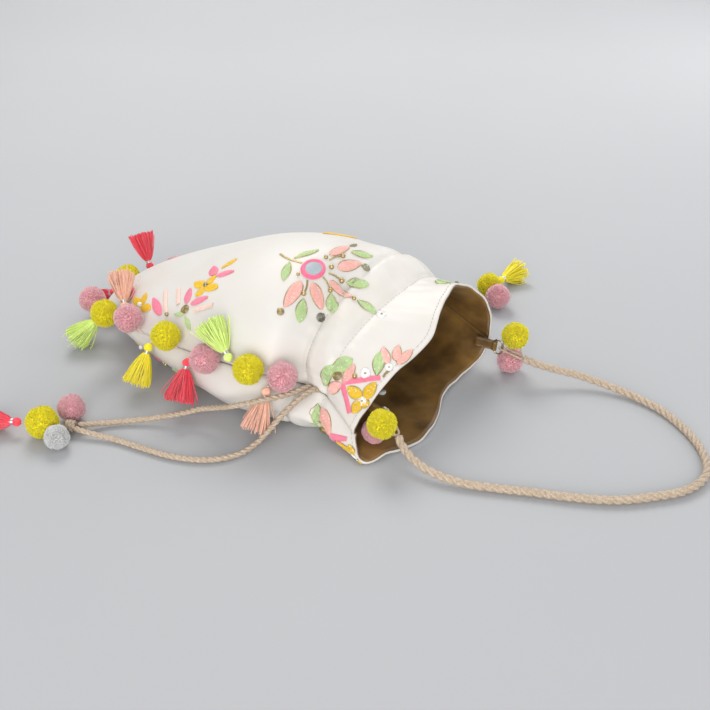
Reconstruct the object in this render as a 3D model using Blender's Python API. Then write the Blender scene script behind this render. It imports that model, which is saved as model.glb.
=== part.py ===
"""Potli bag: a drawstring pouch lying on its back panel, with its mouth towards +X and +Z up.

Two U-shaped outer panels are sewn together round their edge, and a lining of the same cut hangs
inside them.  A casing round the neck holds two drawstrings, the edge seam carries pompoms and
tassels, and a rope handle hangs from a ring on each side of the mouth.
Lengths are in millimetres and become metres when a mesh is made.
"""
import math

import bmesh
import bpy
from mathutils import Matrix, Vector

MM = 0.001
ROW_CENTRE = Vector((-48.2, 2.8, 0.0))   # middle of the bag's footprint, the origin of the part
GAP = 0.3                                # clearance between neighbouring pieces

# Cloth
OUTER_CLOTH = 1.6                        # outer panel with its wadding
LINING_CLOTH = 1.0
CASING_DEPTH = 4.3                       # how far the casing holds the lining off the outer panel
TABLE_FLAT = 2.0                         # how much of the underside is pressed flat

# Cords
DRAWSTRING_DIAMETER = 3.7
HANDLE_DIAMETER = 5.2
LANE = 0.14                              # a drawstring's place in the casing, in stations from its middle
SHARP_END = 2.0                          # station up to which the panels meet at a sharp edge
SLIT_HALF = 3.0                          # half the height of a drawstring's slit in the side seam

# Trim
TRIM_RADIUS = 8.8                        # pompoms on the seam
SMALL_RADIUS = 8.3                       # pompoms on the handle
TASSEL_PROFILE = ((2.1, 0.7), (2.8, 2.8), (1.9, 5.0), (1.8, 6.8), (3.4, 9.5), (4.6, 17.0), (5.8, 27.0))

# Metalwork and the parts that hang the handle
WIRE = 0.75                              # radius of a ring's wire
RING_TALL = 5.0                          # from the middle of a ring to its top bar
RING_DEEP = 2.8                          # from the middle of a ring to its side bar
THREAD = 0.7                             # radius of the thread loop that ties the handle to a ring
TAB_LAYER = 0.8

# Body: x, near and far seam (y, z), top and bottom height, roundness above and below, near bulge
BODY_STATIONS = (
    (-164.0, -30, 24, 10, 24, 24, 24, 0.80, 0.80, 0),
    (-160.0, -40, 24, 22, 24, 32, 14, 0.80, 0.80, 0),
    (-148.0, -50, 25, 38, 25, 40, 6, 0.70, 0.65, 1),
    (-125.0, -59, 28, 54, 27, 51, 2, 0.62, 0.55, 3),
    (-95.0, -67, 32, 67, 30, 64, 0, 0.58, 0.45, 6),
    (-60.0, -72, 35, 76, 33, 78, 0, 0.56, 0.42, 12),
    (-25.0, -73, 37, 78, 35, 86, 0, 0.54, 0.40, 20),
    (1.0, -68, 35, 77, 36, 86, 0, 0.54, 0.40, 22),
)
# Neck and mouth: near seam, over the front panel, far seam, back under the back panel
CASING_LOW = (
    (17, -54, 27), (17, -49, 43), (17, -35, 57), (17, -15, 66), (18, 8, 72), (20, 30, 76),
    (23, 50, 73), (25, 66, 59), (24, 72, 36), (22, 68, 18), (20, 52, 7), (19, 32, 3),
    (18, 8, 2), (17, -16, 2), (14, -60, 4.5), (14, -68.5, 15),
)
CASING_HIGH = (
    (32, -54, 24), (34, -51, 39), (37, -37, 52), (38, -16, 58), (39, 6, 61), (41, 28, 63),
    (44, 48, 63), (45, 66, 52), (44, 74, 34), (42, 68, 16), (40, 52, 6), (40, 32, 3),
    (39, 8, 2), (38, -16, 2), (34, -54, 3.5), (32, -65, 12),
)
MOUTH = (
    (60, -66, 14), (64, -56, 29), (70, -34, 43), (76, -3, 52), (72, 16, 63), (70, 37, 68),
    (75, 59, 58), (83, 68, 38), (85, 65, 20), (82, 52, 7), (79, 33, 6), (80, 10, 5),
    (87, -12, 3), (89, -34, 3), (80, -57, 3), (71, -72, 3),
)
COLUMNS = 32                             # points round the bag, half of them on each panel
HALF = COLUMNS // 2
CASING_CORNER = (28, 29, 30)             # columns where the casing turns sharply under the near seam
CASING = 8                               # station of the casing's lower stitching
ROWS = (0, 0.55, 1, 1.5, 2, 2.5, 3, 3.5, 4, 4.5, 5, 5.5, 6, 6.5, 7, 7.5,
        8, 8.2, 8.5, 8.8, 9, 9.35, 9.7, 10)

# Routes of the free cords
HANDLE_ROUTE = (
    (112.0, 60, 15.8), (122, 62, 13.5), (134, 67, 10.5), (146, 72, 8), (162, 75, 5.2), (181, 75, 3.2),
    (202, 69, 2.8), (222, 55, 2.8), (236, 38, 2.8), (242, 20, 2.8), (237, 2, 2.8), (224, -13, 2.8),
    (206, -28, 2.8), (186, -38, 2.8), (165, -46, 2.8), (145, -54, 2.8), (127, -60.5, 3.4),
    (110, -63, 5.5), (98, -62, 8.5), (90, -59.5, 12), (84.5, -56.5, 16.0),
)
NEAR_ROUTE_UPPER = (
    (22.4, -52.9, 25.5), (22.2, -58.6, 28.7), (17, -70.5, 29), (9, -81, 28.5), (0, -88, 26.5), (-10, -91, 22.5),
    (-21, -91, 17.5), (-33, -92, 12.5), (-46, -97.5, 7.5), (-61, -107, 4), (-76, -118, 2.6),
    (-86, -127.5, 3.2), (-92.8, -135.8, 4.8),
)
NEAR_ROUTE_LOWER = (
    (26.6, -52.9, 25.5), (26.5, -58.6, 28.4), (23.5, -68.5, 26.5), (18.5, -78, 19.5), (14, -85.5, 11.5),
    (10, -93, 5), (6, -103, 2.3), (-1, -113.5, 2.2), (-12, -121.5, 2.2), (-27, -127, 2.2),
    (-46, -130, 2.2), (-66, -132.5, 2.4), (-82, -137, 3.6), (-91.5, -139.5, 4.8),
)
FAR_ROUTE_UPPER = (
    (31.8, 73.2, 35.0), (31.4, 79, 33.5), (27, 89, 26), (20, 99, 16.5), (13, 108, 8), (8, 117, 3.2),
    (8, 126, 2.2), (15, 134, 2.5), (25, 137.5, 4), (32.4, 138.6, 4.8),
)
FAR_ROUTE_LOWER = (
    (36.0, 73.2, 35.0), (36.4, 79, 33), (38.5, 88, 25), (41, 97, 15.5), (43, 106, 7.5), (44, 115, 3),
    (42.5, 124, 2.4), (39.2, 131, 3.6), (37.8, 134.6, 4.8),
)

# Pompoms on the seam: distance along it from the near eyelet, colour, and its middle out and up
SEAM_POMPOMS = (
    (22, "pink", 9.5, 7.5), (38, "yellow", 9.5, 8), (66, "pink", 9.5, 6.5), (99, "yellow", 7.5, 12),
    (137, "pink", 7.0, 13.0), (165, "yellow", 9.0, 9), (201, "pink", 9.5, 2), (237, "yellow", 9.5, 1),
    (273, "pink", 9.5, -6), (309, "yellow", 9.5, -8), (345, "pink", 9.5, -7), (381, "yellow", 9.5, -5),
    (417, "pink", 9.5, -2), (452, "yellow", 9.5, 1),
)
# Tassels on the seam: distance, colour, head out and up, and the direction in which it hangs
SEAM_TASSELS = (
    (29, "peach", 9, -2, (-0.12, -0.38, -0.92)), (51, "lime", 5, 7, (-0.70, 0.20, 0.64)),
    (84, "coral", 5, -1, (0.12, -0.58, -0.80)), (119, "yellow", 5, -1, (-0.10, -0.50, -0.86)),
    (158, "peach", -2.5, 10, (-0.62, 0.58, 0.52)), (183, "lime", 5, -1, (-0.62, -0.42, -0.66)),
    (219, "coral", 5, -1, (-0.80, -0.05, -0.60)), (254, "coral", 5, 1, (-0.42, 0.20, 0.88)),
    (291, "peach", 5, -1, (-0.45, 0.62, -0.64)), (327, "lime", 5, -1, (-0.15, 0.62, -0.77)),
    (363, "coral", 5, -1, (-0.20, 0.60, -0.77)), (399, "yellow", 5, -1, (-0.10, 0.60, -0.79)),
    (435, "peach", 5, -1, (-0.10, 0.60, -0.79)),
)
# Pompoms tied to the cords: name, colour, middle, radius
TIED_POMPOMS = (
    ("handle_pompom_far_upper", "yellow", (103.6, 62.5, 29.3), SMALL_RADIUS),
    ("handle_pompom_far_lower", "pink", (100.8, 64.5, 8.8), SMALL_RADIUS),
    ("handle_pompom_near_upper", "yellow", (77.7, -63.6, 26.5), SMALL_RADIUS),
    ("handle_pompom_near_lower", "pink", (67.5, -54.4, 12.0), 7.2),
    ("drawstring_near_pompom_front", "yellow", (-107.0, -150.0, 10.0), 9.4),
    ("drawstring_near_pompom_back", "pink", (-104.5, -129.0, 9.0), 8.0),
    ("drawstring_near_pompom_side", "white", (-91.5, -153.5, 7.4), 7.0),
    ("drawstring_far_pompom_front", "yellow", (44.5, 151.5, 10.0), 8.6),
    ("drawstring_far_pompom_side", "pink", (57.5, 139.0, 10.0), 8.6),
)
NEAR_KNOT = (-96.0, -139.0, 4.8)
FAR_KNOT = (37.0, 139.0, 4.8)
KNOT_RADIUS = 3.9
NEAR_TASSEL = ((-119.5, -155.5, 8.6), (-0.93, -0.36, -0.06))
FAR_TASSEL = ((47.0, 164.3, 8.6), (0.20, 0.97, -0.06))

# Rings: middle of the bar held by the tab, and the direction in which the ring is pulled
FAR_RING = (Vector((91.0, 59.4, 19.5)), Vector((1.0, 0.0, -0.08)))
NEAR_RING = (Vector((70.0, -51.0, 24.0)), Vector((0.97, -0.18, -0.15)))
FAR_TAB_ROOT = Vector((77.5, 57.2, 19.5))
NEAR_TAB_ROOT = Vector((58.0, -49.8, 22.5))
TAB_HALF_WIDTH = 2.9

COLOURS = {
    "ivory_satin": ((0.86, 0.84, 0.79), 0.45, 0.0),
    "gold_velvet": ((0.33, 0.22, 0.07), 0.75, 0.0),
    "beige_cord": ((0.68, 0.57, 0.42), 0.55, 0.0),
    "antique_brass": ((0.45, 0.38, 0.25), 0.35, 1.0),
    "yellow": ((0.93, 0.85, 0.02), 0.9, 0.0),
    "pink": ((0.95, 0.50, 0.55), 0.9, 0.0),
    "white": ((0.80, 0.80, 0.78), 0.9, 0.0),
    "peach": ((0.93, 0.60, 0.48), 0.7, 0.0),
    "lime": ((0.72, 0.90, 0.30), 0.7, 0.0),
    "coral": ((0.85, 0.12, 0.18), 0.7, 0.0),
}


# ---------------------------------------------------------------- small tools

def clear_scene():
    for old in list(bpy.data.objects):
        bpy.data.objects.remove(old, do_unlink=True)


def material(name):
    """The finish of that name, made once."""
    known = bpy.data.materials.get(name)
    if known:
        return known
    colour, roughness, metallic = COLOURS[name]
    made = bpy.data.materials.new(name)
    made.use_nodes = True
    shader = made.node_tree.nodes["Principled BSDF"]
    shader.inputs["Base Color"].default_value = (*colour, 1.0)
    shader.inputs["Roughness"].default_value = roughness
    shader.inputs["Metallic"].default_value = metallic
    return made


def add_object(name, data, finish):
    """An object placed in the scene with its finish."""
    data.materials.clear()
    data.materials.append(material(finish))
    item = bpy.data.objects.new(name, data)
    bpy.context.scene.collection.objects.link(item)
    return item


def place(point):
    """A point of the pattern, in metres in the part's frame."""
    return (Vector(point) - ROW_CENTRE) * MM


def mesh_from(name, vertices, faces, smooth=True):
    """A closed mesh from points in millimetres, with its faces turned outwards."""
    work = bmesh.new()
    corners = [work.verts.new(point) for point in vertices]
    for face in faces:
        work.faces.new([corners[i] for i in face])
    bmesh.ops.recalc_face_normals(work, faces=work.faces)
    mesh = bpy.data.meshes.new(name)
    work.to_mesh(mesh)
    work.free()
    if smooth:
        mesh.shade_smooth()
        mesh.set_sharp_from_angle(angle=math.radians(40))
    return mesh


def blend_points(p0, p1, p2, p3, t):
    """Catmull-Rom between p1 and p2."""
    return 0.5 * (2 * p1 + (p2 - p0) * t + (2 * p0 - 5 * p1 + 4 * p2 - p3) * t * t
                  + (3 * p1 - p0 - 3 * p2 + p3) * t * t * t)


def open_curve(points, t):
    """A point on the smooth open curve through the points, with t counted in points."""
    last = len(points) - 1
    i = min(int(t), last - 1)
    p0, p1, p2, p3 = (points[max(0, min(last, i + k))] for k in (-1, 0, 1, 2))
    return blend_points(p0, p1, p2, p3, t - i)


def even_points(route, spacing):
    """Points at even distances along the smooth curve through a route."""
    knots = [Vector(point) for point in route]
    fine = [open_curve(knots, k / 12) for k in range(12 * (len(knots) - 1) + 1)]
    travelled = [0.0]
    for a, b in zip(fine, fine[1:]):
        travelled.append(travelled[-1] + (b - a).length)
    count = max(2, round(travelled[-1] / spacing))
    found, i = [], 0
    for k in range(count + 1):
        target = travelled[-1] * k / count
        while i < len(fine) - 2 and travelled[i + 1] < target:
            i += 1
        share = (target - travelled[i]) / (travelled[i + 1] - travelled[i])
        found.append(fine[i].lerp(fine[i + 1], share))
    return found


# ---------------------------------------------------------------- the bag's surface

def body_loop(station):
    """One closed section of the body, from the near seam over the front panel."""
    x, near_y, near_z, far_y, far_z, top, low, round_top, round_low, bulge = station
    loop = []
    for i in range(COLUMNS):
        angle = 2 * math.pi * i / COLUMNS
        across, up = math.cos(angle), math.sin(angle)
        y = (near_y + far_y) / 2 - (far_y - near_y) / 2 * across
        seam_z = near_z + (far_z - near_z) * (1 - across) / 2
        if up >= 0:
            z = seam_z + (top - seam_z) * abs(up) ** (2 * round_top)
        else:
            z = seam_z - (seam_z - low) * abs(up) ** (2 * round_low)
            y -= bulge * abs(2 * up * max(across, 0.0))
        loop.append(Vector((x, y, z)))
    return loop


def shaped_loop(points):
    """A closed section through hand-set points, with one point more between each two."""
    knots = [Vector(point) for point in points]
    count = len(knots)
    loop = []
    for i in range(count):
        p0, p1, p2, p3 = (knots[(i + k) % count] for k in (-1, 0, 1, 2))
        loop.append(p1.copy())
        loop.append(blend_points(p0, p1, p2, p3, 0.5))
    return loop


def press_flat(loop):
    """Press the underside flat on the table."""
    for point in loop[HALF + 1:]:
        point.z = max(point.z - TABLE_FLAT * (1 - min(1.0, point.z / 20)), 0.0)
    return loop


def section_loops():
    loops = [body_loop(station) for station in BODY_STATIONS]
    loops += [shaped_loop(points) for points in (CASING_LOW, CASING_HIGH, MOUTH)]
    return [press_flat(loop) for loop in loops]


LOOPS = section_loops()


def surface_row(station):
    """The bag's outer surface at one station: a closed row of points, none under the table."""
    row = [open_curve([loop[i] for loop in LOOPS], station) for i in range(COLUMNS)]
    return [Vector((x, y, max(z, 0.0))) for x, y, z in row]


GRID = [surface_row(station) for station in ROWS]


def outward(row, column):
    """The outward direction at a point of the grid."""
    column %= COLUMNS
    if row == 0:
        return Vector((-1, 0, 0))
    along = GRID[min(row + 1, len(GRID) - 1)][column] - GRID[row - 1][column]
    across = GRID[row][(column + 1) % COLUMNS] - GRID[row][column - 1]
    return across.cross(along).normalized() * -1


def sized(values):
    """The middle and the size of a run of numbers."""
    low, high = min(values), max(values)
    return (low + high) / 2, max(high - low, 0.001)


def layer_row(row, depth):
    """One closed row of the surface at a depth under the cloth's outside."""
    points = GRID[row]
    straight = [point - outward(row, i) * depth for i, point in enumerate(points)]
    share = max(0.0, min(1.0, (ROWS[row] - 2.0) / 1.5))
    if share == 1.0:
        return straight
    middle_y, wide = sized([point.y for point in points])
    middle_z, tall = sized([point.z for point in points])
    shrink_y = wide / (wide + 2 * depth)
    shrink_z = tall / (tall + 2 * depth)
    nested = []
    for point, moved in zip(points, straight):
        y = middle_y + (point.y - middle_y) * shrink_y
        z = middle_z + (point.z - middle_z) * shrink_z
        nested.append(Vector((moved.x, y, z)).lerp(moved, share))
    return nested


def eased(points):
    """A closed row with its sharp corner under the near seam rounded."""
    rounded = list(points)
    for i in CASING_CORNER:
        rounded[i] = points[i - 1] * 0.25 + points[i] * 0.5 + points[i + 1] * 0.25
    return rounded


def casing_lift(station):
    """How far the casing holds the lining inwards at a station."""
    return CASING_DEPTH if CASING < station < CASING + 1 else 0.0


def seam_setback(station, has_slits):
    """How far a panel's edge stands back from the middle of the seam."""
    if has_slits and CASING < station < CASING + 1:
        return SLIT_HALF
    return 0.0 if station < SHARP_END else GAP / 2


def layer(first, depth, is_lining):
    """One layer of a panel as rows of points, standing back from the seam round its edge."""
    rows = []
    for row, station in enumerate(ROWS):
        lift = casing_lift(station) if is_lining else 0.0
        closed = layer_row(row, depth + lift)
        if lift:
            closed = eased(eased(closed))
        points = [closed[(first + k) % COLUMNS].copy() for k in range(HALF + 1)]
        back = seam_setback(station, not is_lining)
        points[0] += (points[1] - points[0]).normalized() * back
        points[-1] += (points[-2] - points[-1]).normalized() * back
        if station < SHARP_END:
            for point in points:
                point.z += GAP / 2 if first == 0 else -GAP / 2
        rows.append(points)
    return rows


def panel(name, first, depth, thickness, finish, is_lining):
    """Half the bag's wall as a closed shell: columns first to first + HALF."""
    wide = HALF + 1
    tall = len(ROWS)
    vertices = []
    for under in (depth, depth + thickness):
        for points in layer(first, under, is_lining):
            vertices.extend(points)
    inside = tall * wide
    faces = []
    for row in range(tall - 1):
        for column in range(wide - 1):
            a = row * wide + column
            for corners in ((a, a + 1, a + wide + 1), (a, a + wide + 1, a + wide)):
                faces.append(corners)
                faces.append(tuple(i + inside for i in reversed(corners)))
    rim = [column for column in range(wide)]
    rim += [row * wide + wide - 1 for row in range(1, tall)]
    rim += [(tall - 1) * wide + column for column in range(wide - 2, -1, -1)]
    rim += [row * wide for row in range(tall - 2, 0, -1)]
    for a, b in zip(rim, rim[1:] + rim[:1]):
        faces.append((b, a, a + inside, b + inside))
    mesh = mesh_from(name, [place(point) for point in vertices], faces)
    return add_object(name, mesh, finish)


# ---------------------------------------------------------------- cords

def cord(name, points, diameter, finish):
    """A tube with filled ends along points in millimetres."""
    curve = bpy.data.curves.new(name, "CURVE")
    curve.dimensions = "3D"
    curve.bevel_depth = diameter / 2 * MM
    curve.bevel_resolution = 2
    curve.use_fill_caps = True
    spline = curve.splines.new("POLY")
    spline.points.add(len(points) - 1)
    for spot, point in zip(spline.points, points):
        spot.co = (*place(point), 1.0)
    return add_object(name, curve, finish)


def free_cord(name, route, diameter, finish="beige_cord"):
    return cord(name, even_points(route, diameter * 2.4), diameter, finish)


def casing_cord(name, lane, start, finish="beige_cord"):
    """The part of a drawstring inside the casing, open for its slit at column start."""
    station = CASING + 0.5 + lane
    row = surface_row(station)
    ahead = surface_row(station + 0.1)
    depth = OUTER_CLOTH + GAP * 1.6 + DRAWSTRING_DIAMETER / 2
    points = []
    for k in range(1, COLUMNS):
        i = (start + k) % COLUMNS
        across = row[(i + 1) % COLUMNS] - row[i - 1]
        inward = across.cross(ahead[i] - row[i]).normalized()
        points.append(row[i] + inward * depth)
    return cord(name, points, DRAWSTRING_DIAMETER, finish)


# ---------------------------------------------------------------- pompoms, tassels and knots

def ball_mesh(name, radius, segments=10, rings=7):
    work = bmesh.new()
    bmesh.ops.create_uvsphere(work, u_segments=segments, v_segments=rings, radius=radius * MM)
    mesh = bpy.data.meshes.new(name)
    work.to_mesh(mesh)
    work.free()
    mesh.shade_smooth()
    return mesh


def ball(name, middle, radius, finish):
    item = add_object(name, ball_mesh(name, radius), finish)
    item.location = place(middle)
    return item


def tassel_mesh(name, sides=9):
    """A tassel hanging down its own -Z from its head."""
    vertices = [Vector((0, 0, 0))]
    for radius, drop in TASSEL_PROFILE:
        for k in range(sides):
            turn = 2 * math.pi * k / sides
            vertices.append(Vector((radius * math.cos(turn), radius * math.sin(turn), -drop)) * MM)
    bottom = Vector((0, 0, -TASSEL_PROFILE[-1][1] - 0.6)) * MM
    vertices.append(bottom)
    faces = []
    for k in range(sides):
        after = (k + 1) % sides
        faces.append((0, 1 + k, 1 + after))
        for ring in range(len(TASSEL_PROFILE) - 1):
            a, b = 1 + ring * sides, 1 + (ring + 1) * sides
            faces.append((a + k, b + k, b + after, a + after))
        base = 1 + (len(TASSEL_PROFILE) - 1) * sides
        faces.append((base + k, len(vertices) - 1, base + after))
    return mesh_from(name, vertices, faces)


def tassel(name, head, direction, finish):
    item = add_object(name, tassel_mesh(name), finish)
    turn = Vector((0, 0, -1)).rotation_difference(Vector(direction).normalized())
    item.matrix_world = Matrix.Translation(place(head)) @ turn.to_matrix().to_4x4()
    return item


def seam_line():
    """Points along the U seam from the near eyelet round the bottom to the far eyelet."""
    stations = [s / 8 for s in range(0, int((CASING + 0.5) * 8) + 1)]
    near = [open_curve([loop[0] for loop in LOOPS], s) for s in reversed(stations)]
    far = [open_curve([loop[HALF] for loop in LOOPS], s) for s in stations]
    tip = [open_curve(LOOPS[0][:HALF + 1], i) for i in range(1, HALF)]
    return near + tip + far


def on_seam(line, distance):
    """The point at a distance along the seam, and the direction straight out from it."""
    left = distance
    for a, b in zip(line, line[1:]):
        step = (b - a).length
        if left <= step and step > 0:
            along = (b - a).normalized()
            out = Vector((0, 0, 1)).cross(along)
            return a.lerp(b, left / step), out.normalized()
        left -= step
    raise ValueError("the seam is shorter than " + str(distance))


def seam_trim():
    line = seam_line()
    for k, (distance, colour, outwards, up) in enumerate(SEAM_POMPOMS, 1):
        point, out = on_seam(line, distance)
        middle = point + out * outwards + Vector((0, 0, up))
        ball(f"seam_pompom_{k:02d}", middle, TRIM_RADIUS, colour)
    for k, (distance, colour, outwards, up, direction) in enumerate(SEAM_TASSELS, 1):
        point, out = on_seam(line, distance)
        tassel(f"seam_tassel_{k:02d}", point + out * outwards + Vector((0, 0, up)), direction, colour)


# ---------------------------------------------------------------- rings, tabs and thread loops

def frame_along(pull, up=Vector((0, 0, 1))):
    """Unit directions: along the pull, sideways, and nearly up."""
    along = pull.normalized()
    side = up.cross(along).normalized()
    return along, side, along.cross(side)


def closed_tube(name, centres, radius, finish, sides=6):
    """A closed round ring of tube through a flat loop of centres."""
    count = len(centres)
    middle = sum(centres, Vector()) / count
    normal = (centres[0] - middle).cross(centres[count // 4] - middle).normalized()
    vertices, faces = [], []
    for i, centre in enumerate(centres):
        along = (centres[(i + 1) % count] - centres[i - 1]).normalized()
        out = along.cross(normal)
        for k in range(sides):
            turn = 2 * math.pi * k / sides
            vertices.append(centre + (out * math.cos(turn) + normal * math.sin(turn)) * radius)
    for i in range(count):
        after = (i + 1) % count
        for k in range(sides):
            beside = (k + 1) % sides
            faces.append((i * sides + k, i * sides + beside, after * sides + beside, after * sides + k))
    mesh = mesh_from(name, [place(point) for point in vertices], faces)
    return add_object(name, mesh, finish)


def rounded_loop(centre, one, other, half_one, half_other, corner, per_corner=3):
    """A rounded rectangle of points round a centre, in the plane of two directions."""
    points = []
    for quarter in range(4):
        sign_one = 1 if quarter in (0, 3) else -1
        sign_other = 1 if quarter in (0, 1) else -1
        pivot = centre + one * sign_one * (half_one - corner) + other * sign_other * (half_other - corner)
        for k in range(per_corner + 1):
            turn = math.pi / 2 * (quarter + k / per_corner)
            points.append(pivot + (one * math.cos(turn) + other * math.sin(turn)) * corner)
    return points


def oval_loop(start, finish, side, half_wide, per_end=6):
    """An oval of points: two half circles joined by straight sides."""
    along = (finish - start).normalized()
    points = []
    for pivot, sign in ((finish - along * half_wide, 1), (start + along * half_wide, -1)):
        for k in range(per_end + 1):
            turn = -math.pi / 2 + math.pi * k / per_end
            points.append(pivot + (along * math.cos(turn) + side * math.sin(turn)) * half_wide * sign)
    return points


def ring(name, bar, pull):
    """A small oval ring whose inner bar lies in the tab."""
    along, _, up = frame_along(pull)
    centre = bar + along * RING_DEEP
    return closed_tube(name, rounded_loop(centre, along, up, RING_DEEP, RING_TALL, 2.4), WIRE, "antique_brass")


def thread_loop(name, bar, pull, end):
    """The thread loop round a ring's outer bar that the cord's end is sewn into."""
    outer_bar = bar + pull.normalized() * RING_DEEP * 2
    along, side, _ = frame_along(end - outer_bar)
    half_wide = WIRE + GAP + THREAD + 0.1
    start = outer_bar - along * half_wide
    finish = end - along * (THREAD + GAP)
    return closed_tube(name, oval_loop(start, finish, side, half_wide), THREAD, "beige_cord")


def tab(name, root, bar, pull):
    """A folded strip of lining cloth that goes round a ring's bar, both ends sewn to the lining."""
    _, _, up = frame_along(pull)
    leg = bar - root
    along = (leg - up * leg.dot(up)).normalized()
    side = up.cross(along)
    inner = WIRE + GAP
    outer = inner + TAB_LAYER
    reach = leg.length
    steps = 8
    outline = [(-reach, -GAP / 2), (-inner - 1.2, -GAP / 2)]
    for k in range(steps + 1):
        turn = math.radians(200) + math.radians(320) * k / steps
        outline.append((inner * math.cos(turn), inner * math.sin(turn)))
    outline += [(-inner - 1.2, GAP / 2), (-reach, GAP / 2), (-reach, GAP / 2 + TAB_LAYER),
                (-inner - 1.0, GAP / 2 + TAB_LAYER)]
    for k in range(steps + 1):
        turn = math.radians(140) - math.radians(280) * k / steps
        outline.append((outer * math.cos(turn), outer * math.sin(turn)))
    outline += [(-inner - 1.0, -GAP / 2 - TAB_LAYER), (-reach, -GAP / 2 - TAB_LAYER)]
    count = len(outline)
    vertices = [bar + along * a + side * b + up * h
                for h in (-TAB_HALF_WIDTH, TAB_HALF_WIDTH) for a, b in outline]
    faces = [tuple(range(count)), tuple(range(2 * count - 1, count - 1, -1))]
    faces += [(i, (i + 1) % count, (i + 1) % count + count, i + count) for i in range(count)]
    mesh = mesh_from(name, [place(point) for point in vertices], faces)
    return add_object(name, mesh, "gold_velvet")


# ---------------------------------------------------------------- the whole bag

def cloth():
    panel("front_panel", 0, 0.0, OUTER_CLOTH, "ivory_satin", False)
    panel("back_panel", HALF, 0.0, OUTER_CLOTH, "ivory_satin", False)
    depth = OUTER_CLOTH + GAP
    panel("lining_front", 0, depth, LINING_CLOTH, "gold_velvet", True)
    panel("lining_back", HALF, depth, LINING_CLOTH, "gold_velvet", True)


def drawstrings():
    casing_cord("drawstring_near_casing", -LANE, 0)
    casing_cord("drawstring_far_casing", LANE, HALF)
    free_cord("drawstring_near_upper", NEAR_ROUTE_UPPER, DRAWSTRING_DIAMETER)
    free_cord("drawstring_near_lower", NEAR_ROUTE_LOWER, DRAWSTRING_DIAMETER)
    free_cord("drawstring_far_upper", FAR_ROUTE_UPPER, DRAWSTRING_DIAMETER)
    free_cord("drawstring_far_lower", FAR_ROUTE_LOWER, DRAWSTRING_DIAMETER)
    ball("drawstring_near_knot", NEAR_KNOT, KNOT_RADIUS, "beige_cord")
    ball("drawstring_far_knot", FAR_KNOT, KNOT_RADIUS, "beige_cord")
    tassel("drawstring_near_tassel", *NEAR_TASSEL, "coral")
    tassel("drawstring_far_tassel", *FAR_TASSEL, "yellow")


def handle():
    free_cord("handle_cord", HANDLE_ROUTE, HANDLE_DIAMETER)
    ends = (("far", FAR_RING, FAR_TAB_ROOT, HANDLE_ROUTE[0]),
            ("near", NEAR_RING, NEAR_TAB_ROOT, HANDLE_ROUTE[-1]))
    for side, (bar, pull), root, end in ends:
        tab("ring_tab_" + side, root, bar, pull)
        ring("ring_" + side, bar, pull)
        thread_loop("handle_thread_" + side, bar, pull, Vector(end))


def main():
    clear_scene()
    cloth()
    seam_trim()
    drawstrings()
    handle()
    for name, colour, middle, radius in TIED_POMPOMS:
        ball(name, middle, radius, colour)


main()
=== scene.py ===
"""Dresses the potli bag: silk panels, velvet lining, cords, trim and embroidery, and its studio."""
import logging
import math
from dataclasses import dataclass
from enum import Enum

import bpy
import numpy as np
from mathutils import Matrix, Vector
from mathutils.bvhtree import BVHTree


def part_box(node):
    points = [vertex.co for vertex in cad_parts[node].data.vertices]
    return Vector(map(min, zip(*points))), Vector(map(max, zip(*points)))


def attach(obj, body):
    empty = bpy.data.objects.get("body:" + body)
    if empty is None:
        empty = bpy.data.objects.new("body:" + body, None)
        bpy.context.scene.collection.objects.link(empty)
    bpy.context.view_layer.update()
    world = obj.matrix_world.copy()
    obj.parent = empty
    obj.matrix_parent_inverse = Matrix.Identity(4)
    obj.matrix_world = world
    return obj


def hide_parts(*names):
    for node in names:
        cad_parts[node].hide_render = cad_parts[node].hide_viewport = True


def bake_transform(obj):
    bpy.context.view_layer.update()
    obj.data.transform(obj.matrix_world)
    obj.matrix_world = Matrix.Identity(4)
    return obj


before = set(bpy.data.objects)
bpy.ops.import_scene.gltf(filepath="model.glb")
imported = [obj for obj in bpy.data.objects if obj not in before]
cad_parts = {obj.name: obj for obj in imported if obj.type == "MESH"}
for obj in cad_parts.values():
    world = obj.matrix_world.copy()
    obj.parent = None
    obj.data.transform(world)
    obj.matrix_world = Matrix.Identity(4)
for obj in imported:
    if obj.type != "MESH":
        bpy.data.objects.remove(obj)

MM = 0.001
ORIGIN = np.array((-48.2, 2.8, 0.0))     # the pattern's point that is the frame's origin, in millimetres
ABOVE_TABLE = 0.4       # the lowest middle of a thread, in millimetres
log = logging.getLogger("potli")
Points = np.ndarray
UV = tuple[float, float]

# Body sections: x, near seam y and z, far seam y and z, top, bottom, roundness above and below, bulge
BODY_STATIONS = (
    (-164.0, -30, 24, 10, 24, 24, 24, 0.80, 0.80, 0), (-160.0, -40, 24, 22, 24, 32, 14, 0.80, 0.80, 0),
    (-148.0, -50, 25, 38, 25, 40, 6, 0.70, 0.65, 1), (-125.0, -59, 28, 54, 27, 51, 2, 0.62, 0.55, 3),
    (-95.0, -67, 32, 67, 30, 64, 0, 0.58, 0.45, 6), (-60.0, -72, 35, 76, 33, 78, 0, 0.56, 0.42, 12),
    (-25.0, -73, 37, 78, 35, 86, 0, 0.54, 0.40, 20), (1.0, -68, 35, 77, 36, 86, 0, 0.54, 0.40, 22),
)
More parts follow.
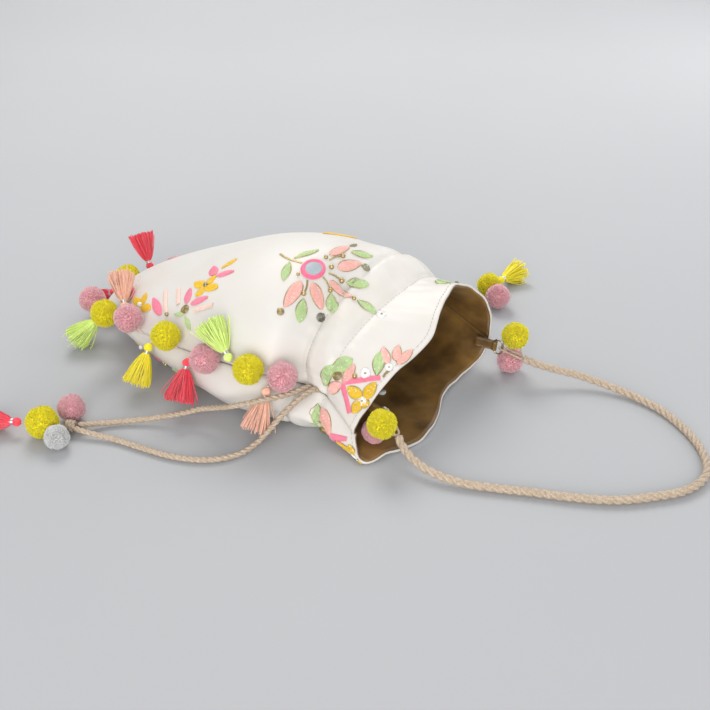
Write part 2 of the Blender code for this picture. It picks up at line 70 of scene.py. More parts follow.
# Listed sections: casing's lower and upper stitching, and the mouth's edge
CASING_LOW = (
    (17, -54, 27), (17, -49, 43), (17, -35, 57), (17, -15, 66), (18, 8, 72), (20, 30, 76),
    (23, 50, 73), (25, 66, 59), (24, 72, 36), (22, 68, 18), (20, 52, 7), (19, 32, 3),
    (18, 8, 2), (17, -16, 2), (14, -60, 4.5), (14, -68.5, 15),
)
CASING_HIGH = (
    (32, -54, 24), (34, -51, 39), (37, -37, 52), (38, -16, 58), (39, 6, 61), (41, 28, 63),
    (44, 48, 63), (45, 66, 52), (44, 74, 34), (42, 68, 16), (40, 52, 6), (40, 32, 3),
    (39, 8, 2), (38, -16, 2), (34, -54, 3.5), (32, -65, 12),
)
MOUTH = (
    (60, -66, 14), (64, -56, 29), (70, -34, 43), (76, -3, 52), (72, 16, 63), (70, 37, 68),
    (75, 59, 58), (83, 68, 38), (85, 65, 20), (82, 52, 7), (79, 33, 6), (80, 10, 5),
    (87, -12, 3), (89, -34, 3), (80, -57, 3), (71, -72, 3),
)
HANDLE_ROUTE = (
    (112.0, 60, 15.8), (122, 62, 13.5), (134, 67, 10.5), (146, 72, 8), (162, 75, 5.2), (181, 75, 3.2),
    (202, 69, 2.8), (222, 55, 2.8), (236, 38, 2.8), (242, 20, 2.8), (237, 2, 2.8), (224, -13, 2.8),
    (206, -28, 2.8), (186, -38, 2.8), (165, -46, 2.8), (145, -54, 2.8), (127, -60.5, 3.4),
    (110, -63, 5.5), (98, -62, 8.5), (90, -59.5, 12), (84.5, -56.5, 16.0),
)
NEAR_UPPER = (
    (22.4, -52.9, 25.5), (22.2, -58.6, 28.7), (17, -70.5, 29), (9, -81, 28.5), (0, -88, 26.5),
    (-10, -91, 22.5), (-21, -91, 17.5), (-33, -92, 12.5), (-46, -97.5, 7.5), (-61, -107, 4),
    (-76, -118, 2.6), (-86, -127.5, 3.2), (-92.8, -135.8, 4.8),
)
NEAR_LOWER = (
    (26.6, -52.9, 25.5), (26.5, -58.6, 28.4), (23.5, -68.5, 26.5), (18.5, -78, 19.5), (14, -85.5, 11.5),
    (10, -93, 5), (6, -103, 2.3), (-1, -113.5, 2.2), (-12, -121.5, 2.2), (-27, -127, 2.2),
    (-46, -130, 2.2), (-66, -132.5, 2.4), (-82, -137, 3.6), (-91.5, -139.5, 4.8),
)
FAR_UPPER = (
    (31.8, 73.2, 35.0), (31.4, 79, 33.5), (27, 89, 26), (20, 99, 16.5), (13, 108, 8), (8, 117, 3.2),
    (8, 126, 2.2), (15, 134, 2.5), (25, 137.5, 4), (32.4, 138.6, 4.8),
)
FAR_LOWER = (
    (36.0, 73.2, 35.0), (36.4, 79, 33), (38.5, 88, 25), (41, 97, 15.5), (43, 106, 7.5), (44, 115, 3),
    (42.5, 124, 2.4), (39.2, 131, 3.6), (37.8, 134.6, 4.8),
)
# Seam pompoms in order from the near eyelet
SEAM_POMPOMS = ("pink", "yellow") * 7
# Seam tassels: distance along the seam, colour, head out and up, and the direction in which it hangs
SEAM_TASSELS = (
    (29, "peach", 9, -2, (-0.12, -0.38, -0.92)), (51, "lime", 5, 7, (-0.70, 0.20, 0.64)),
    (84, "coral", 5, -1, (0.12, -0.58, -0.80)), (119, "yellow", 5, -1, (-0.10, -0.50, -0.86)),
    (158, "peach", -2.5, 10, (-0.62, 0.58, 0.52)), (183, "lime", 5, -1, (-0.62, -0.42, -0.66)),
    (219, "coral", 5, -1, (-0.80, -0.05, -0.60)), (254, "coral", 5, 1, (-0.42, 0.20, 0.88)),
    (291, "peach", 5, -1, (-0.45, 0.62, -0.64)), (327, "lime", 5, -1, (-0.15, 0.62, -0.77)),
    (363, "coral", 5, -1, (-0.20, 0.60, -0.77)), (399, "yellow", 5, -1, (-0.10, 0.60, -0.79)),
    (435, "peach", 5, -1, (-0.10, 0.60, -0.79)),
)
TIED_POMPOMS = {
    "handle_pompom_far_upper": "yellow", "handle_pompom_far_lower": "pink",
    "handle_pompom_near_upper": "yellow", "handle_pompom_near_lower": "pink",
    "drawstring_near_pompom_front": "yellow", "drawstring_near_pompom_back": "pink",
    "drawstring_near_pompom_side": "white", "drawstring_far_pompom_front": "yellow",
    "drawstring_far_pompom_side": "pink",
}
# Embroidery on a panel, placed by station along the bag and column round it
# shape, colour, (station, column) where it starts, the same where it ends, width in millimetres
STROKES = (
    ("stem", "gold", (6.62, 6.6), (5.93, 7.0), 0.9), ("leaf", "green", (6.35, 6.8), (6.65, 7.8), 4.2),
    ("leaf", "green", (6.33, 6.5), (6.53, 5.4), 5.5), ("petal", "blush", (6.95, 5.6), (6.93, 4.1), 7.4),
    ("stem", "gold", (7.05, 5.8), (7.18, 5.1), 0.6), ("leaf", "green", (7.25, 4.9), (7.45, 3.7), 7.4),
    ("petal", "blush", (7.20, 5.8), (7.80, 5.0), 7.6), ("stem", "gold", (7.30, 6.4), (7.65, 6.1), 0.6),
    ("leaf", "green", (7.72, 6.0), (8.12, 5.2), 7.3), ("petal", "blush", (7.50, 6.5), (8.25, 6.7), 6.0),
    ("leaf", "green", (8.43, 6.8), (9.00, 7.0), 6.4), ("stem", "gold", (7.35, 6.8), (7.73, 7.1), 0.6),
    ("leaf", "green", (7.85, 7.3), (8.33, 8.1), 7.4), ("petal", "blush", (7.40, 7.5), (7.75, 8.7), 7.0),
    ("leaf", "olive", (7.80, 8.6), (8.05, 8.9), 3.8), ("stem", "gold", (7.10, 7.5), (7.25, 8.2), 0.6),
    ("leaf", "green", (7.28, 8.8), (7.80, 9.7), 5.4), ("petal", "blush", (6.98, 7.8), (7.10, 9.1), 5.2),
    ("leaf", "olive", (7.08, 9.2), (7.12, 9.7), 2.2), ("leaf", "amber", (5.95, 10.2), (6.60, 11.2), 4.6),
    ("leaf", "amber", (4.95, 5.8), (5.10, 6.5), 3.8), ("petal", "rose", (4.90, 5.3), (4.72, 6.0), 7.0),
    ("petal", "rose", (5.00, 5.3), (5.30, 5.6), 5.1), ("petal", "amber", (4.88, 4.6), (4.60, 4.8), 6.6),
    ("petal", "amber", (4.90, 4.7), (4.98, 5.3), 6.1), ("petal", "amber", (4.93, 4.5), (4.85, 3.9), 6.6),
    ("petal", "amber", (4.95, 4.5), (5.23, 4.5), 6.6), ("petal", "rose", (4.73, 3.4), (4.60, 4.4), 5.6),
    ("petal", "rose", (4.85, 3.4), (5.15, 3.9), 5.1), ("bar", "peach", (4.55, 3.3), (4.30, 4.4), 3.1),
    ("bar", "peach", (4.35, 2.6), (3.98, 4.2), 3.2), ("bar", "peach", (5.00, 3.0), (5.35, 3.5), 3.1),
    ("petal", "rose", (4.23, 2.4), (3.75, 3.6), 6.3), ("petal", "amber", (3.48, 2.9), (3.38, 4.0), 6.6),
    ("petal", "amber", (3.43, 2.9), (3.02, 3.5), 5.9), ("petal", "amber", (3.53, 2.8), (3.86, 2.7), 6.3),
    ("petal", "rose", (2.90, 3.4), (2.45, 4.8), 6.6), ("leaf", "green", (4.85, 2.6), (5.08, 1.8), 3.6),
    ("leaf", "green", (4.58, 2.6), (4.80, 2.7), 2.8), ("leaf", "green", (8.93, 0.7), (8.98, 2.6), 8.1),
    ("leaf", "green", (8.96, 1.9), (9.25, 3.5), 8.7), ("petal", "blush", (9.35, 2.1), (9.33, 3.3), 5.7),
    ("petal", "blush", (9.10, 0.7), (9.33, 2.0), 6.6), ("leaf", "green", (9.72, 3.4), (9.50, 4.5), 6.6),
    ("petal", "blush", (9.72, 4.1), (9.48, 4.8), 5.6), ("petal", "blush", (9.78, 4.4), (9.62, 5.2), 5.1),
    ("petal", "blush", (9.86, 4.3), (9.84, 5.2), 5.1), ("stem", "gold", (9.83, 3.5), (9.86, 4.0), 0.9),
    ("bar", "rose", (9.33, 2.1), (9.80, 3.4), 3.0), ("bar", "rose", (9.34, 2.0), (9.70, 0.9), 3.0),
    ("petal", "amber", (9.72, 2.1), (9.44, 2.1), 6.6), ("petal", "amber", (9.78, 2.2), (9.80, 3.1), 6.6),
    ("petal", "amber", (9.76, 1.9), (9.76, 1.1), 6.1), ("petal", "amber", (9.82, 2.0), (9.97, 2.0), 5.4),
    ("leaf", "green", (9.28, 11.6), (9.62, 10.7), 6.4), ("leaf", "green", (9.26, 11.8), (9.66, 12.3), 6.8),
)
# bead, sequin or swirl, colour, (station, column), radius in millimetres
STUDS = (
    ("swirl", "gold", (6.90, 3.8), 2.4), ("bead", "gold", (7.18, 5.1), 1.5), ("swirl", "pewter", (7.88, 4.6), 3.0),
    ("bead", "gold", (7.65, 6.1), 1.6), ("bead", "gold", (8.33, 6.7), 1.4), ("sequin", "white", (9.12, 6.9), 3.0),
    ("bead", "gold", (7.73, 7.1), 1.8), ("bead", "gold", (7.28, 7.2), 1.7), ("bead", "gold", (7.25, 8.2), 1.6),
    ("bead", "gold", (6.98, 7.5), 1.4), ("bead", "pewter", (4.93, 4.6), 1.6), ("swirl", "gold", (4.78, 3.0), 3.3),
    ("bead", "white", (3.45, 2.9), 1.8), ("swirl", "gold", (9.18, 2.2), 3.0), ("sequin", "white", (9.55, 3.2), 3.1),
    ("bead", "gold", (9.44, 2.8), 1.5), ("sequin", "white", (9.79, 4.0), 2.4), ("sequin", "white", (9.78, 2.0), 2.8),
    ("bead", "gold", (4.40, 2.5), 1.3), ("bead", "pewter", (9.70, 11.3), 1.5), ("bead", "gold", (6.76, 5.9), 1.1),
)
MIRROR: UV = (6.98, 6.5)


class Body(Enum):
    """The bodies of the frame that pieces ride on."""

    BAG = "bag"
    HANDLE = "handle"


class Shape(Enum):
    """The shapes that are worked in satin stitch."""

    STEM = "stem"
    LEAF = "leaf"
    PETAL = "petal"
    BAR = "bar"


class Stud(Enum):
    """What is sewn on over the stitches."""

    BEAD = "bead"
    SEQUIN = "sequin"
    SWIRL = "swirl"


# ---------------------------------------------------------------- finishes

@dataclass(frozen=True)
class Finish:
    """A procedural finish, made into a material the first time it is used.

    Attributes:
        name: the material's name.
        colour: its main colour, linear.
        shade: what the colour wanders to.
        grain: depth of its fine relief, in millimetres.
        grain_size: size of that relief's features, in millimetres.
        cloud: size of the patches in which the colour wanders, in millimetres.
    """

    name: str
    colour: tuple[float, float, float]
    shade: tuple[float, float, float]
    roughness: float = 0.6
    metallic: float = 0.0
    sheen: float = 0.0
    grain: float = 0.05
    grain_size: float = 0.5
    cloud: float = 6.0
    stretch: tuple[float, float, float] = (1.0, 1.0, 1.0)
    coordinates: str = "Object"
    scatter: float = 0.0

    def material(self) -> bpy.types.Material:
        """Returns the material, made once."""
        known = bpy.data.materials.get(self.name)
        if known:
            return known
        made = bpy.data.materials.new(self.name)
        made.use_nodes = True
        nodes, links = made.node_tree.nodes, made.node_tree.links
        shader = nodes["Principled BSDF"]
        shader.inputs["Roughness"].default_value = self.roughness
        shader.inputs["Metallic"].default_value = self.metallic
        shader.inputs["Sheen Weight"].default_value = self.sheen
        shader.inputs["Sheen Roughness"].default_value = 0.4
        shader.inputs["Subsurface Weight"].default_value = self.scatter
        shader.inputs["Subsurface Radius"].default_value = (1.0, 0.9, 0.8)
        shader.inputs["Subsurface Scale"].default_value = 2.5 * MM
        place = nodes.new("ShaderNodeTexCoord")
        scale = nodes.new("ShaderNodeMapping")
        scale.inputs["Scale"].default_value = self.stretch
        links.new(place.outputs[self.coordinates], scale.inputs["Vector"])
        patches = nodes.new("ShaderNodeTexNoise")
        patches.inputs["Scale"].default_value = 1 / (self.cloud * MM)
        patches.inputs["Detail"].default_value = 4.0
        links.new(scale.outputs["Vector"], patches.inputs["Vector"])
        mix = nodes.new("ShaderNodeValToRGB")
        mix.color_ramp.elements[0].position = 0.32
        mix.color_ramp.elements[0].color = (*self.shade, 1.0)
        mix.color_ramp.elements[1].position = 0.66
        mix.color_ramp.elements[1].color = (*self.colour, 1.0)
        links.new(patches.outputs["Fac"], mix.inputs["Fac"])
        links.new(mix.outputs["Color"], shader.inputs["Base Color"])
        fine = nodes.new("ShaderNodeTexNoise")
        fine.inputs["Scale"].default_value = 1 / (self.grain_size * MM)
        fine.inputs["Detail"].default_value = 2.0
        links.new(scale.outputs["Vector"], fine.inputs["Vector"])
        bump = nodes.new("ShaderNodeBump")
        bump.inputs["Strength"].default_value = 0.6
        bump.inputs["Distance"].default_value = self.grain * MM
        links.new(fine.outputs["Fac"], bump.inputs["Height"])
        links.new(bump.outputs["Normal"], shader.inputs["Normal"])
        return made


def wool(name: str, colour: tuple[float, float, float]) -> Finish:
    """Returns cut wool of a colour."""
    shade = tuple(c * 0.92 for c in colour)
    return Finish("wool_" + name, colour, shade, 0.9, 0.0, 0.25, 0.05, 0.4, 3.0, scatter=0.6)


def silk(name: str, colour: tuple[float, float, float]) -> Finish:
    """Returns lustrous silk thread of a colour."""
    shade = tuple(c * 0.86 for c in colour)
    return Finish("silk_" + name, colour, shade, 0.48, 0.0, 0.3, 0.03, 0.3, 1.6)


class Finishes:
    """Every finish of the bag."""

    SATIN = Finish("woven_satin", (0.71, 0.68, 0.635), (0.69, 0.65, 0.585), 0.5, 0.0, 0.12, 0.03, 0.35, 30.0)
    VELVET = Finish("bronze_velvet", (0.25, 0.135, 0.034), (0.085, 0.042, 0.010), 0.42, 0.0, 0.08, 0.08, 0.7, 22.0)
    STITCH = Finish("stitch_thread", (0.56, 0.53, 0.47), (0.50, 0.47, 0.41), 0.6, 0.0, 0.1, 0.02, 0.2)
    CORD = Finish("laid_cord", (0.56, 0.45, 0.34), (0.40, 0.30, 0.20), 0.4, 0.0, 0.1, 0.12, 0.3, 1.2)
    BRASS = Finish("aged_brass", (0.62, 0.56, 0.44), (0.34, 0.29, 0.20), 0.3, 1.0, 0.0, 0.02, 0.6, 1.5)
    SILVER = Finish("silver_thread", (0.80, 0.80, 0.80), (0.55, 0.55, 0.56), 0.28, 1.0, 0.0, 0.02, 0.2, 0.6)
    GLASS = Finish("mirror_glass", (0.66, 0.74, 0.76), (0.60, 0.68, 0.70), 0.22, 0.75, 0.0, 0.01, 2.0, 6.0)
    GOLD = Finish("gold_thread", (0.60, 0.47, 0.22), (0.38, 0.29, 0.13), 0.36, 0.8, 0.0, 0.03, 0.25, 0.8)
    PEWTER = Finish("pewter_bead", (0.36, 0.34, 0.28), (0.22, 0.21, 0.17), 0.32, 0.8, 0.0, 0.02, 0.3, 0.8)
    PEARL = Finish("pearl_sequin", (0.88, 0.88, 0.86), (0.80, 0.80, 0.80), 0.22, 0.0, 0.0, 0.01, 0.5, 1.5)
    WOOL = {
        "yellow": wool("yellow", (1.0, 0.87, 0.004)), "pink": wool("pink", (1.0, 0.50, 0.54)),
        "white": wool("white", (0.93, 0.92, 0.90)),
    }
    TASSEL = {
        "peach": silk("peach", (1.0, 0.58, 0.42)), "lime": silk("lime", (0.80, 1.0, 0.26)),
        "coral": silk("coral", (1.0, 0.07, 0.11)), "yellow": silk("yellow", (1.0, 0.86, 0.01)),
    }
    FLOSS = {
        "green": silk("leaf_green", (0.50, 0.66, 0.30)), "blush": silk("blush", (0.93, 0.50, 0.43)),
        "rose": silk("rose", (0.93, 0.25, 0.36)), "amber": silk("amber", (0.88, 0.56, 0.02)),
        "olive": silk("olive", (0.30, 0.30, 0.20)), "peach": silk("pale_peach", (0.92, 0.68, 0.58)),
        "hot": silk("mirror_pink", (0.93, 0.17, 0.30)), "gold": GOLD, "pewter": PEWTER, "white": PEARL,
    }


# ---------------------------------------------------------------- the bag's form

def catmull(p0: Points, p1: Points, p2: Points, p3: Points, t: Points) -> Points:
    """Returns the Catmull-Rom blend between p1 and p2."""
    return 0.5 * (2 * p1 + (p2 - p0) * t + (2 * p0 - 5 * p1 + 4 * p2 - p3) * t * t
                  + (3 * p1 - p0 - 3 * p2 + p3) * t ** 3)


def unit(v: Points) -> Points:
    """Returns vectors of length one."""
    return v / np.maximum(np.linalg.norm(v, axis=-1, keepdims=True), 1e-9)


def even_route(points: tuple, spacing: float) -> Points:
    """Follows the smooth curve through given points.

    Args:
        points: the route's points, in pattern millimetres.
        spacing: distance between the points returned.

    Returns:
        Evenly spaced points, ends included.
    """
    knots = np.array(points, float)
    last = len(knots) - 1
    t = np.linspace(0, last, 24 * last + 1)
    i = np.minimum(t.astype(int), last - 1)
    p = [knots[np.clip(i + k, 0, last)] for k in (-1, 0, 1, 2)]
    fine = catmull(*p, (t - i)[:, None])
    travelled = np.concatenate(([0.0], np.cumsum(np.linalg.norm(np.diff(fine, axis=0), axis=1))))
    count = max(2, round(travelled[-1] / spacing))
    wanted = np.linspace(0, travelled[-1], count + 1)
    return np.stack([np.interp(wanted, travelled, fine[:, k]) for k in range(3)], axis=1)


class BagForm:
    """The bag's outer surface as a function of station (0 bottom, 10 mouth) and column (0 to 32 round it)."""

    COLUMNS = 32
    HALF = 16
    TABLE_FLAT = 2.0
    CASING_AT = 8

    def __init__(self) -> None:
        """Builds the sections that the surface passes through."""
        loops = [self._body_loop(station) for station in BODY_STATIONS]
        loops += [self._shaped_loop(points) for points in (CASING_LOW, CASING_HIGH, MOUTH)]
        self.loops = np.array(loops)
        low = self.loops[:, self.HALF + 1:, 2]
        flat = low - self.TABLE_FLAT * (1 - np.minimum(1.0, low / 20))
        self.loops[:, self.HALF + 1:, 2] = np.maximum(flat, 0.0)

    def _body_loop(self, station: tuple) -> Points:
        """Returns one closed section of the body.

        Args:
            station: the section's row of BODY_STATIONS.

        Returns:
            Its points, in pattern millimetres.
        """
        x, near_y, near_z, far_y, far_z, top, low, round_top, round_low, bulge = station
        angle = 2 * np.pi * np.arange(self.COLUMNS) / self.COLUMNS
        across, up = np.cos(angle), np.sin(angle)
        y = (near_y + far_y) / 2 - (far_y - near_y) / 2 * across
        seam = near_z + (far_z - near_z) * (1 - across) / 2
        above = seam + (top - seam) * np.abs(up) ** (2 * round_top)
        below = seam - (seam - low) * np.abs(up) ** (2 * round_low)
        y = y - np.where(up < 0, bulge * np.abs(2 * up * np.maximum(across, 0)), 0.0)
        return np.stack([np.full_like(y, x), y, np.where(up >= 0, above, below)], axis=1)

    def _shaped_loop(self, points: tuple) -> Points:
        """Returns a closed section through given points."""
        knots = np.array(points, float)
        between = catmull(*(np.roll(knots, -k, axis=0) for k in (-1, 0, 1, 2)), 0.5)
        return np.stack([knots, between], axis=1).reshape(-1, 3)

    def base(self, station: Points, column: Points) -> Points:
        """Returns points of the plain surface, in pattern millimetres.

        Args:
            station: from 0 at the bottom to 10 at the mouth.
            column: from 0 to 32 round the bag.

        Returns:
            The points.
        """
        station, column = np.broadcast_arrays(np.asarray(station, float), np.asarray(column, float))
        i = np.clip(station.astype(int), 0, len(self.loops) - 2)
        t = (station - i)[..., None]
        j = np.floor(column).astype(int)
        s = (column - j)[..., None]
        rows = []
        for k in (-1, 0, 1, 2):
            row = np.clip(i + k, 0, len(self.loops) - 1)
            rows.append(catmull(*(self.loops[row, (j + m) % self.COLUMNS] for m in (-1, 0, 1, 2)), s))
        points = catmull(*rows, t)
        points[..., 2] = np.maximum(points[..., 2], 0.0)
        return points

    def normal(self, station: Points, column: Points) -> Points:
        """Returns the outward directions of the plain surface."""
        station, column = np.broadcast_arrays(np.asarray(station, float), np.asarray(column, float))
        station = np.clip(station, 0.04, 9.96)
        along = self.base(station + 0.03, column) - self.base(station - 0.03, column)
        across = self.base(station, column + 0.06) - self.base(station, column - 0.06)
        return -unit(np.cross(across, along))

    def relief(self, station: Points, column: Points) -> Points:
        """Returns how far the sewn cloth stands off the plain surface, in millimetres.

        Args:
            station: from 0 at the bottom to 10 at the mouth.
            column: from 0 to 32 round the bag.

        Returns:
            The height of seams, folds and gathers.
        """
        wander = 0.8 * np.sin(1.7 * column + 0.6) + 0.5 * np.sin(3.1 * column)
        pucker = 0.6 * np.sin(5.1 * column + wander) + 0.4 * np.sin(8.7 * column - 1.3 * wander)
        height = np.zeros_like(station)
        for line in (self.CASING_AT, self.CASING_AT + 1):
            away = np.abs(station - line) * 18
            height -= 1.3 * np.exp(-(away / 1.5) ** 2)
            height += 0.42 * pucker * np.exp(-away / 7.0) * (1 - 0.7 * np.exp(-(away / 1.2) ** 2))
        inside = np.clip(station - self.CASING_AT, 0, 1)
        height += 1.7 * np.sin(np.pi * inside) * (1 + 0.25 * np.sin(2.3 * column + 1))
        frill = np.clip(station - 9, 0, 1)
        height += frill * (0.9 * np.sin(1.9 * column + 1.1) + 0.35 * np.sin(4.3 * column + 4 * station))
        shoulder = np.exp(-np.clip(self.CASING_AT - station, 0, 9) / 0.7) * (station < self.CASING_AT)
        height += shoulder * 1.7 * np.sin(1.35 * column + 0.9 * station + 1.5 * np.sin(0.9 * column))
        casing = np.sin(np.pi * inside)
        height += casing * 0.75 * np.sin(1.6 * column + 2.2 * station + np.sin(0.7 * column))
        to_seam = np.minimum(column % self.HALF, self.HALF - column % self.HALF) * 10.5
        thin = np.clip(station / 1.5, 0.15, 1)
        height -= 1.1 * thin * np.exp(-(to_seam / 1.7) ** 2)
        gather = np.sin(5.4 * station + 0.5 * column) * np.exp(-to_seam / 9.0) * np.clip(1.3 * to_seam / 9, 0, 1)
        height += 0.5 * thin * gather
        height += 0.35 * np.sin(1.3 * station + 0.8 * column) * np.sin(0.9 * station - 0.5 * column) * thin
        return height

    def cloth(self, station: Points, column: Points, depth: float = 0.0) -> Points:
        """Returns points of the sewn cloth, at a depth under its outside, in pattern millimetres."""
        station, column = np.broadcast_arrays(np.asarray(station, float), np.asarray(column, float))
        off = self.relief(station, column) - depth
        points = self.base(station, column) + self.normal(station, column) * off[..., None]
        points[..., 2] = np.maximum(points[..., 2], 0.05)
        return points

    def seam_place(self, distance: float) -> tuple[Points, Points]:
        """Finds a place on the U seam.

        Args:
            distance: from the near eyelet along the seam.

        Returns:
            The point, and the level direction straight out from it.
        """
        stations = np.arange(0, 69) / 8
        near = self.base(stations[::-1], np.zeros(69))
        tip = self.base(np.zeros(15), np.arange(1, 16))
        far = self.base(stations, np.full(69, 16.0))
        line = np.concatenate((near, tip, far))
        travelled = np.concatenate(([0.0], np.cumsum(np.linalg.norm(np.diff(line, axis=0), axis=1))))
        i = int(np.searchsorted(travelled, distance)) - 1
        share = (distance - travelled[i]) / (travelled[i + 1] - travelled[i])
        along = unit(line[i + 1] - line[i])
        out = unit(np.cross((0.0, 0.0, 1.0), along))
        return line[i] + (line[i + 1] - line[i]) * share, out


# ---------------------------------------------------------------- making meshes

def to_frame(points: Points) -> Points:
    """Returns pattern millimetres as metres in the frame."""
    return (np.asarray(points, float) - ORIGIN) * MM


def make_mesh(name: str, points: Points, faces: list, uvs: list | None = None) -> bpy.types.Object:
    """Makes a smooth mesh object that sits at the origin.

    Args:
        name: the object's name.
        points: its points, in pattern millimetres.
        faces: index tuples; pairs make edges.
        uvs: a (u, v) for each point, or nothing.

    Returns:
        The object, linked into the scene.
    """
    mesh = bpy.data.meshes.new(name)
    loose = bool(faces) and len(faces[0]) == 2
    mesh.from_pydata(to_frame(points).tolist(), faces if loose else [], [] if loose else faces)
    if uvs is not None:
        layer = mesh.uv_layers.new(name="Pattern")
        corners = np.empty(len(mesh.loops), np.int32)
        mesh.loops.foreach_get("vertex_index", corners)
        layer.data.foreach_set("uv", np.array(uvs, np.float32)[corners].ravel())
    mesh.update()
    if not loose:
        mesh.shade_smooth()
    item = bpy.data.objects.new(name, mesh)
    bpy.context.scene.collection.objects.link(item)
    return item


def grid_faces(rows: int, columns: int, start: int = 0, flip: bool = False) -> list:
    """Returns the quads of a grid of points stored row by row."""
    faces = []
    for row in range(rows - 1):
        for column in range(columns - 1):
            a = start + row * columns + column
            quad = (a, a + 1, a + columns + 1, a + columns)
            faces.append(quad[::-1] if flip else quad)
    return faces


def sweep(name: str, path: Points, outline: Points, turns: Points | None = None) -> bpy.types.Object:
    """Sweeps a closed outline along a path as a capped tube.

    Args:
        name: the object's name.
        path: the centreline, in pattern millimetres.
        outline: (x, y) points of the section, in millimetres.
        turns: how far the section is turned at each point of the path, in radians.

    Returns:
        The tube.
    """
    tangent = unit(np.gradient(path, axis=0))
    side = unit(np.cross(tangent[0], (0.3, 0.2, 1.0)))
    points, uvs = [], []
    travelled = 0.0
    for i, centre in enumerate(path):
        side = unit(side - tangent[i] * np.dot(side, tangent[i]))
        up = np.cross(tangent[i], side)
        turn = 0.0 if turns is None else turns[i]
        c, s = math.cos(turn), math.sin(turn)
        x = outline[:, 0] * c - outline[:, 1] * s
        y = outline[:, 0] * s + outline[:, 1] * c
        points.extend(centre + np.outer(x, side) + np.outer(y, up))
        if i:
            travelled += float(np.linalg.norm(path[i] - path[i - 1]))
        uvs.extend((k / len(outline), travelled / 10) for k in range(len(outline)))
    wide = len(outline)
    faces = []
    for i in range(len(path) - 1):
        for k in range(wide):
            a, b = i * wide + k, i * wide + (k + 1) % wide
            faces.append((a, b, b + wide, a + wide))
    faces.append(tuple(reversed(range(wide))))
    faces.append(tuple((len(path) - 1) * wide + k for k in range(wide)))
    return make_mesh(name, np.array(points), faces, uvs)


# ---------------------------------------------------------------- repeats by geometry nodes

class Repeat:
    """A geometry node group that is run once on a piece and then leaves a plain mesh."""

    def __init__(self, name: str) -> None:
        """Starts an empty group.

        Args:
            name: the group's name.
        """
        self.tree = bpy.data.node_groups.new(name, "GeometryNodeTree")
        self.tree.interface.new_socket("Geometry", in_out="OUTPUT", socket_type="NodeSocketGeometry")
        self.tree.interface.new_socket("Geometry", in_out="INPUT", socket_type="NodeSocketGeometry")
        self.start = self.tree.nodes.new("NodeGroupInput")
        self.end = self.tree.nodes.new("NodeGroupOutput")
        self.sockets: dict[str, str] = {}

    def value(self, name: str, kind: str, default: float | int | None = None) -> bpy.types.NodeSocket:
        """Adds a named input and returns its socket."""
        socket = self.tree.interface.new_socket(name, in_out="INPUT", socket_type="NodeSocket" + kind)
        if default is not None:
            socket.default_value = default
        self.sockets[name] = socket.identifier
        return self.start.outputs[name]

    def node(self, kind: str, **inputs: object) -> bpy.types.Node:
        """Adds a node whose inputs are set or linked by name; a trailing underscore sets a property."""
        made = self.tree.nodes.new(kind)
        for key, given in inputs.items():
            if key.endswith("_"):
                setattr(made, key[:-1], given)
        for key, given in inputs.items():
            if key.endswith("_"):
                continue
            socket = next(s for s in made.inputs if s.name.replace(" ", "") == key and s.enabled)
            if isinstance(given, bpy.types.NodeSocket):
                self.tree.links.new(given, socket)
            else:
                socket.default_value = given
        return made

    def finish(self, geometry: bpy.types.NodeSocket) -> "Repeat":
        """Ends the group with real, finished geometry."""
        stuff = self.value("Material", "Material")
        real = self.node("GeometryNodeRealizeInstances", Geometry=geometry)
        smooth = self.node("GeometryNodeSetShadeSmooth", Geometry=real.outputs[0])
        done = self.node("GeometryNodeSetMaterial", Geometry=smooth.outputs[0], Material=stuff)
        self.tree.links.new(done.outputs[0], self.end.inputs[0])
        return self

    def run(self, item: bpy.types.Object, **values: object) -> bpy.types.Object:
        """Runs the group on a piece.

        Args:
            item: the piece; its mesh is replaced by the result.
            values: the group's inputs by name.

        Returns:
            The same piece, with no modifier.
        """
        modifier = item.modifiers.new(self.tree.name, "NODES")
        modifier.node_group = self.tree
        for name, given in values.items():
            modifier[self.sockets[name]] = given
        bpy.context.view_layer.update()
        graph = bpy.context.evaluated_depsgraph_get()
        mesh = bpy.data.meshes.new_from_object(item.evaluated_get(graph), depsgraph=graph)
        item.modifiers.clear()
        item.data = mesh
        return item


def threads_group() -> Repeat:
    """Returns the group that makes every edge chain of a piece into a round thread."""
    group = Repeat("Threads")
    radius = group.value("Radius", "Float", 0.0003)
    sides = group.value("Sides", "Int", 4)
    lines = group.node("GeometryNodeMeshToCurve", Mesh=group.start.outputs["Geometry"])
    circle = group.node("GeometryNodeCurvePrimitiveCircle", Resolution=sides, Radius=radius)
    tubes = group.node("GeometryNodeCurveToMesh", Curve=lines.outputs[0], ProfileCurve=circle.outputs[0],
                       FillCaps=True)
    return group.finish(tubes.outputs[0])


def studs_group(name: str, round_bead: bool) -> Repeat:
    """Returns the group that sets a bead or a sequin on every point, turned and sized by its attributes."""
    group = Repeat(name)
    if round_bead:
        stud = group.node("GeometryNodeMeshUVSphere", Segments=12, Rings=8, Radius=1.0)
    else:
        stud = group.node("GeometryNodeMeshCylinder", Vertices=20, Radius=1.0, Depth=0.3)
    turn = group.node("GeometryNodeInputNamedAttribute", data_type_="FLOAT_VECTOR", Name="turn")
    size = group.node("GeometryNodeInputNamedAttribute", data_type_="FLOAT", Name="size")
    euler = group.node("FunctionNodeEulerToRotation", Euler=turn.outputs[0])
    placed = group.node("GeometryNodeInstanceOnPoints", Points=group.start.outputs["Geometry"],
                        Instance=stud.outputs[0], Rotation=euler.outputs[0], Scale=size.outputs[0])
    return group.finish(placed.outputs[0])


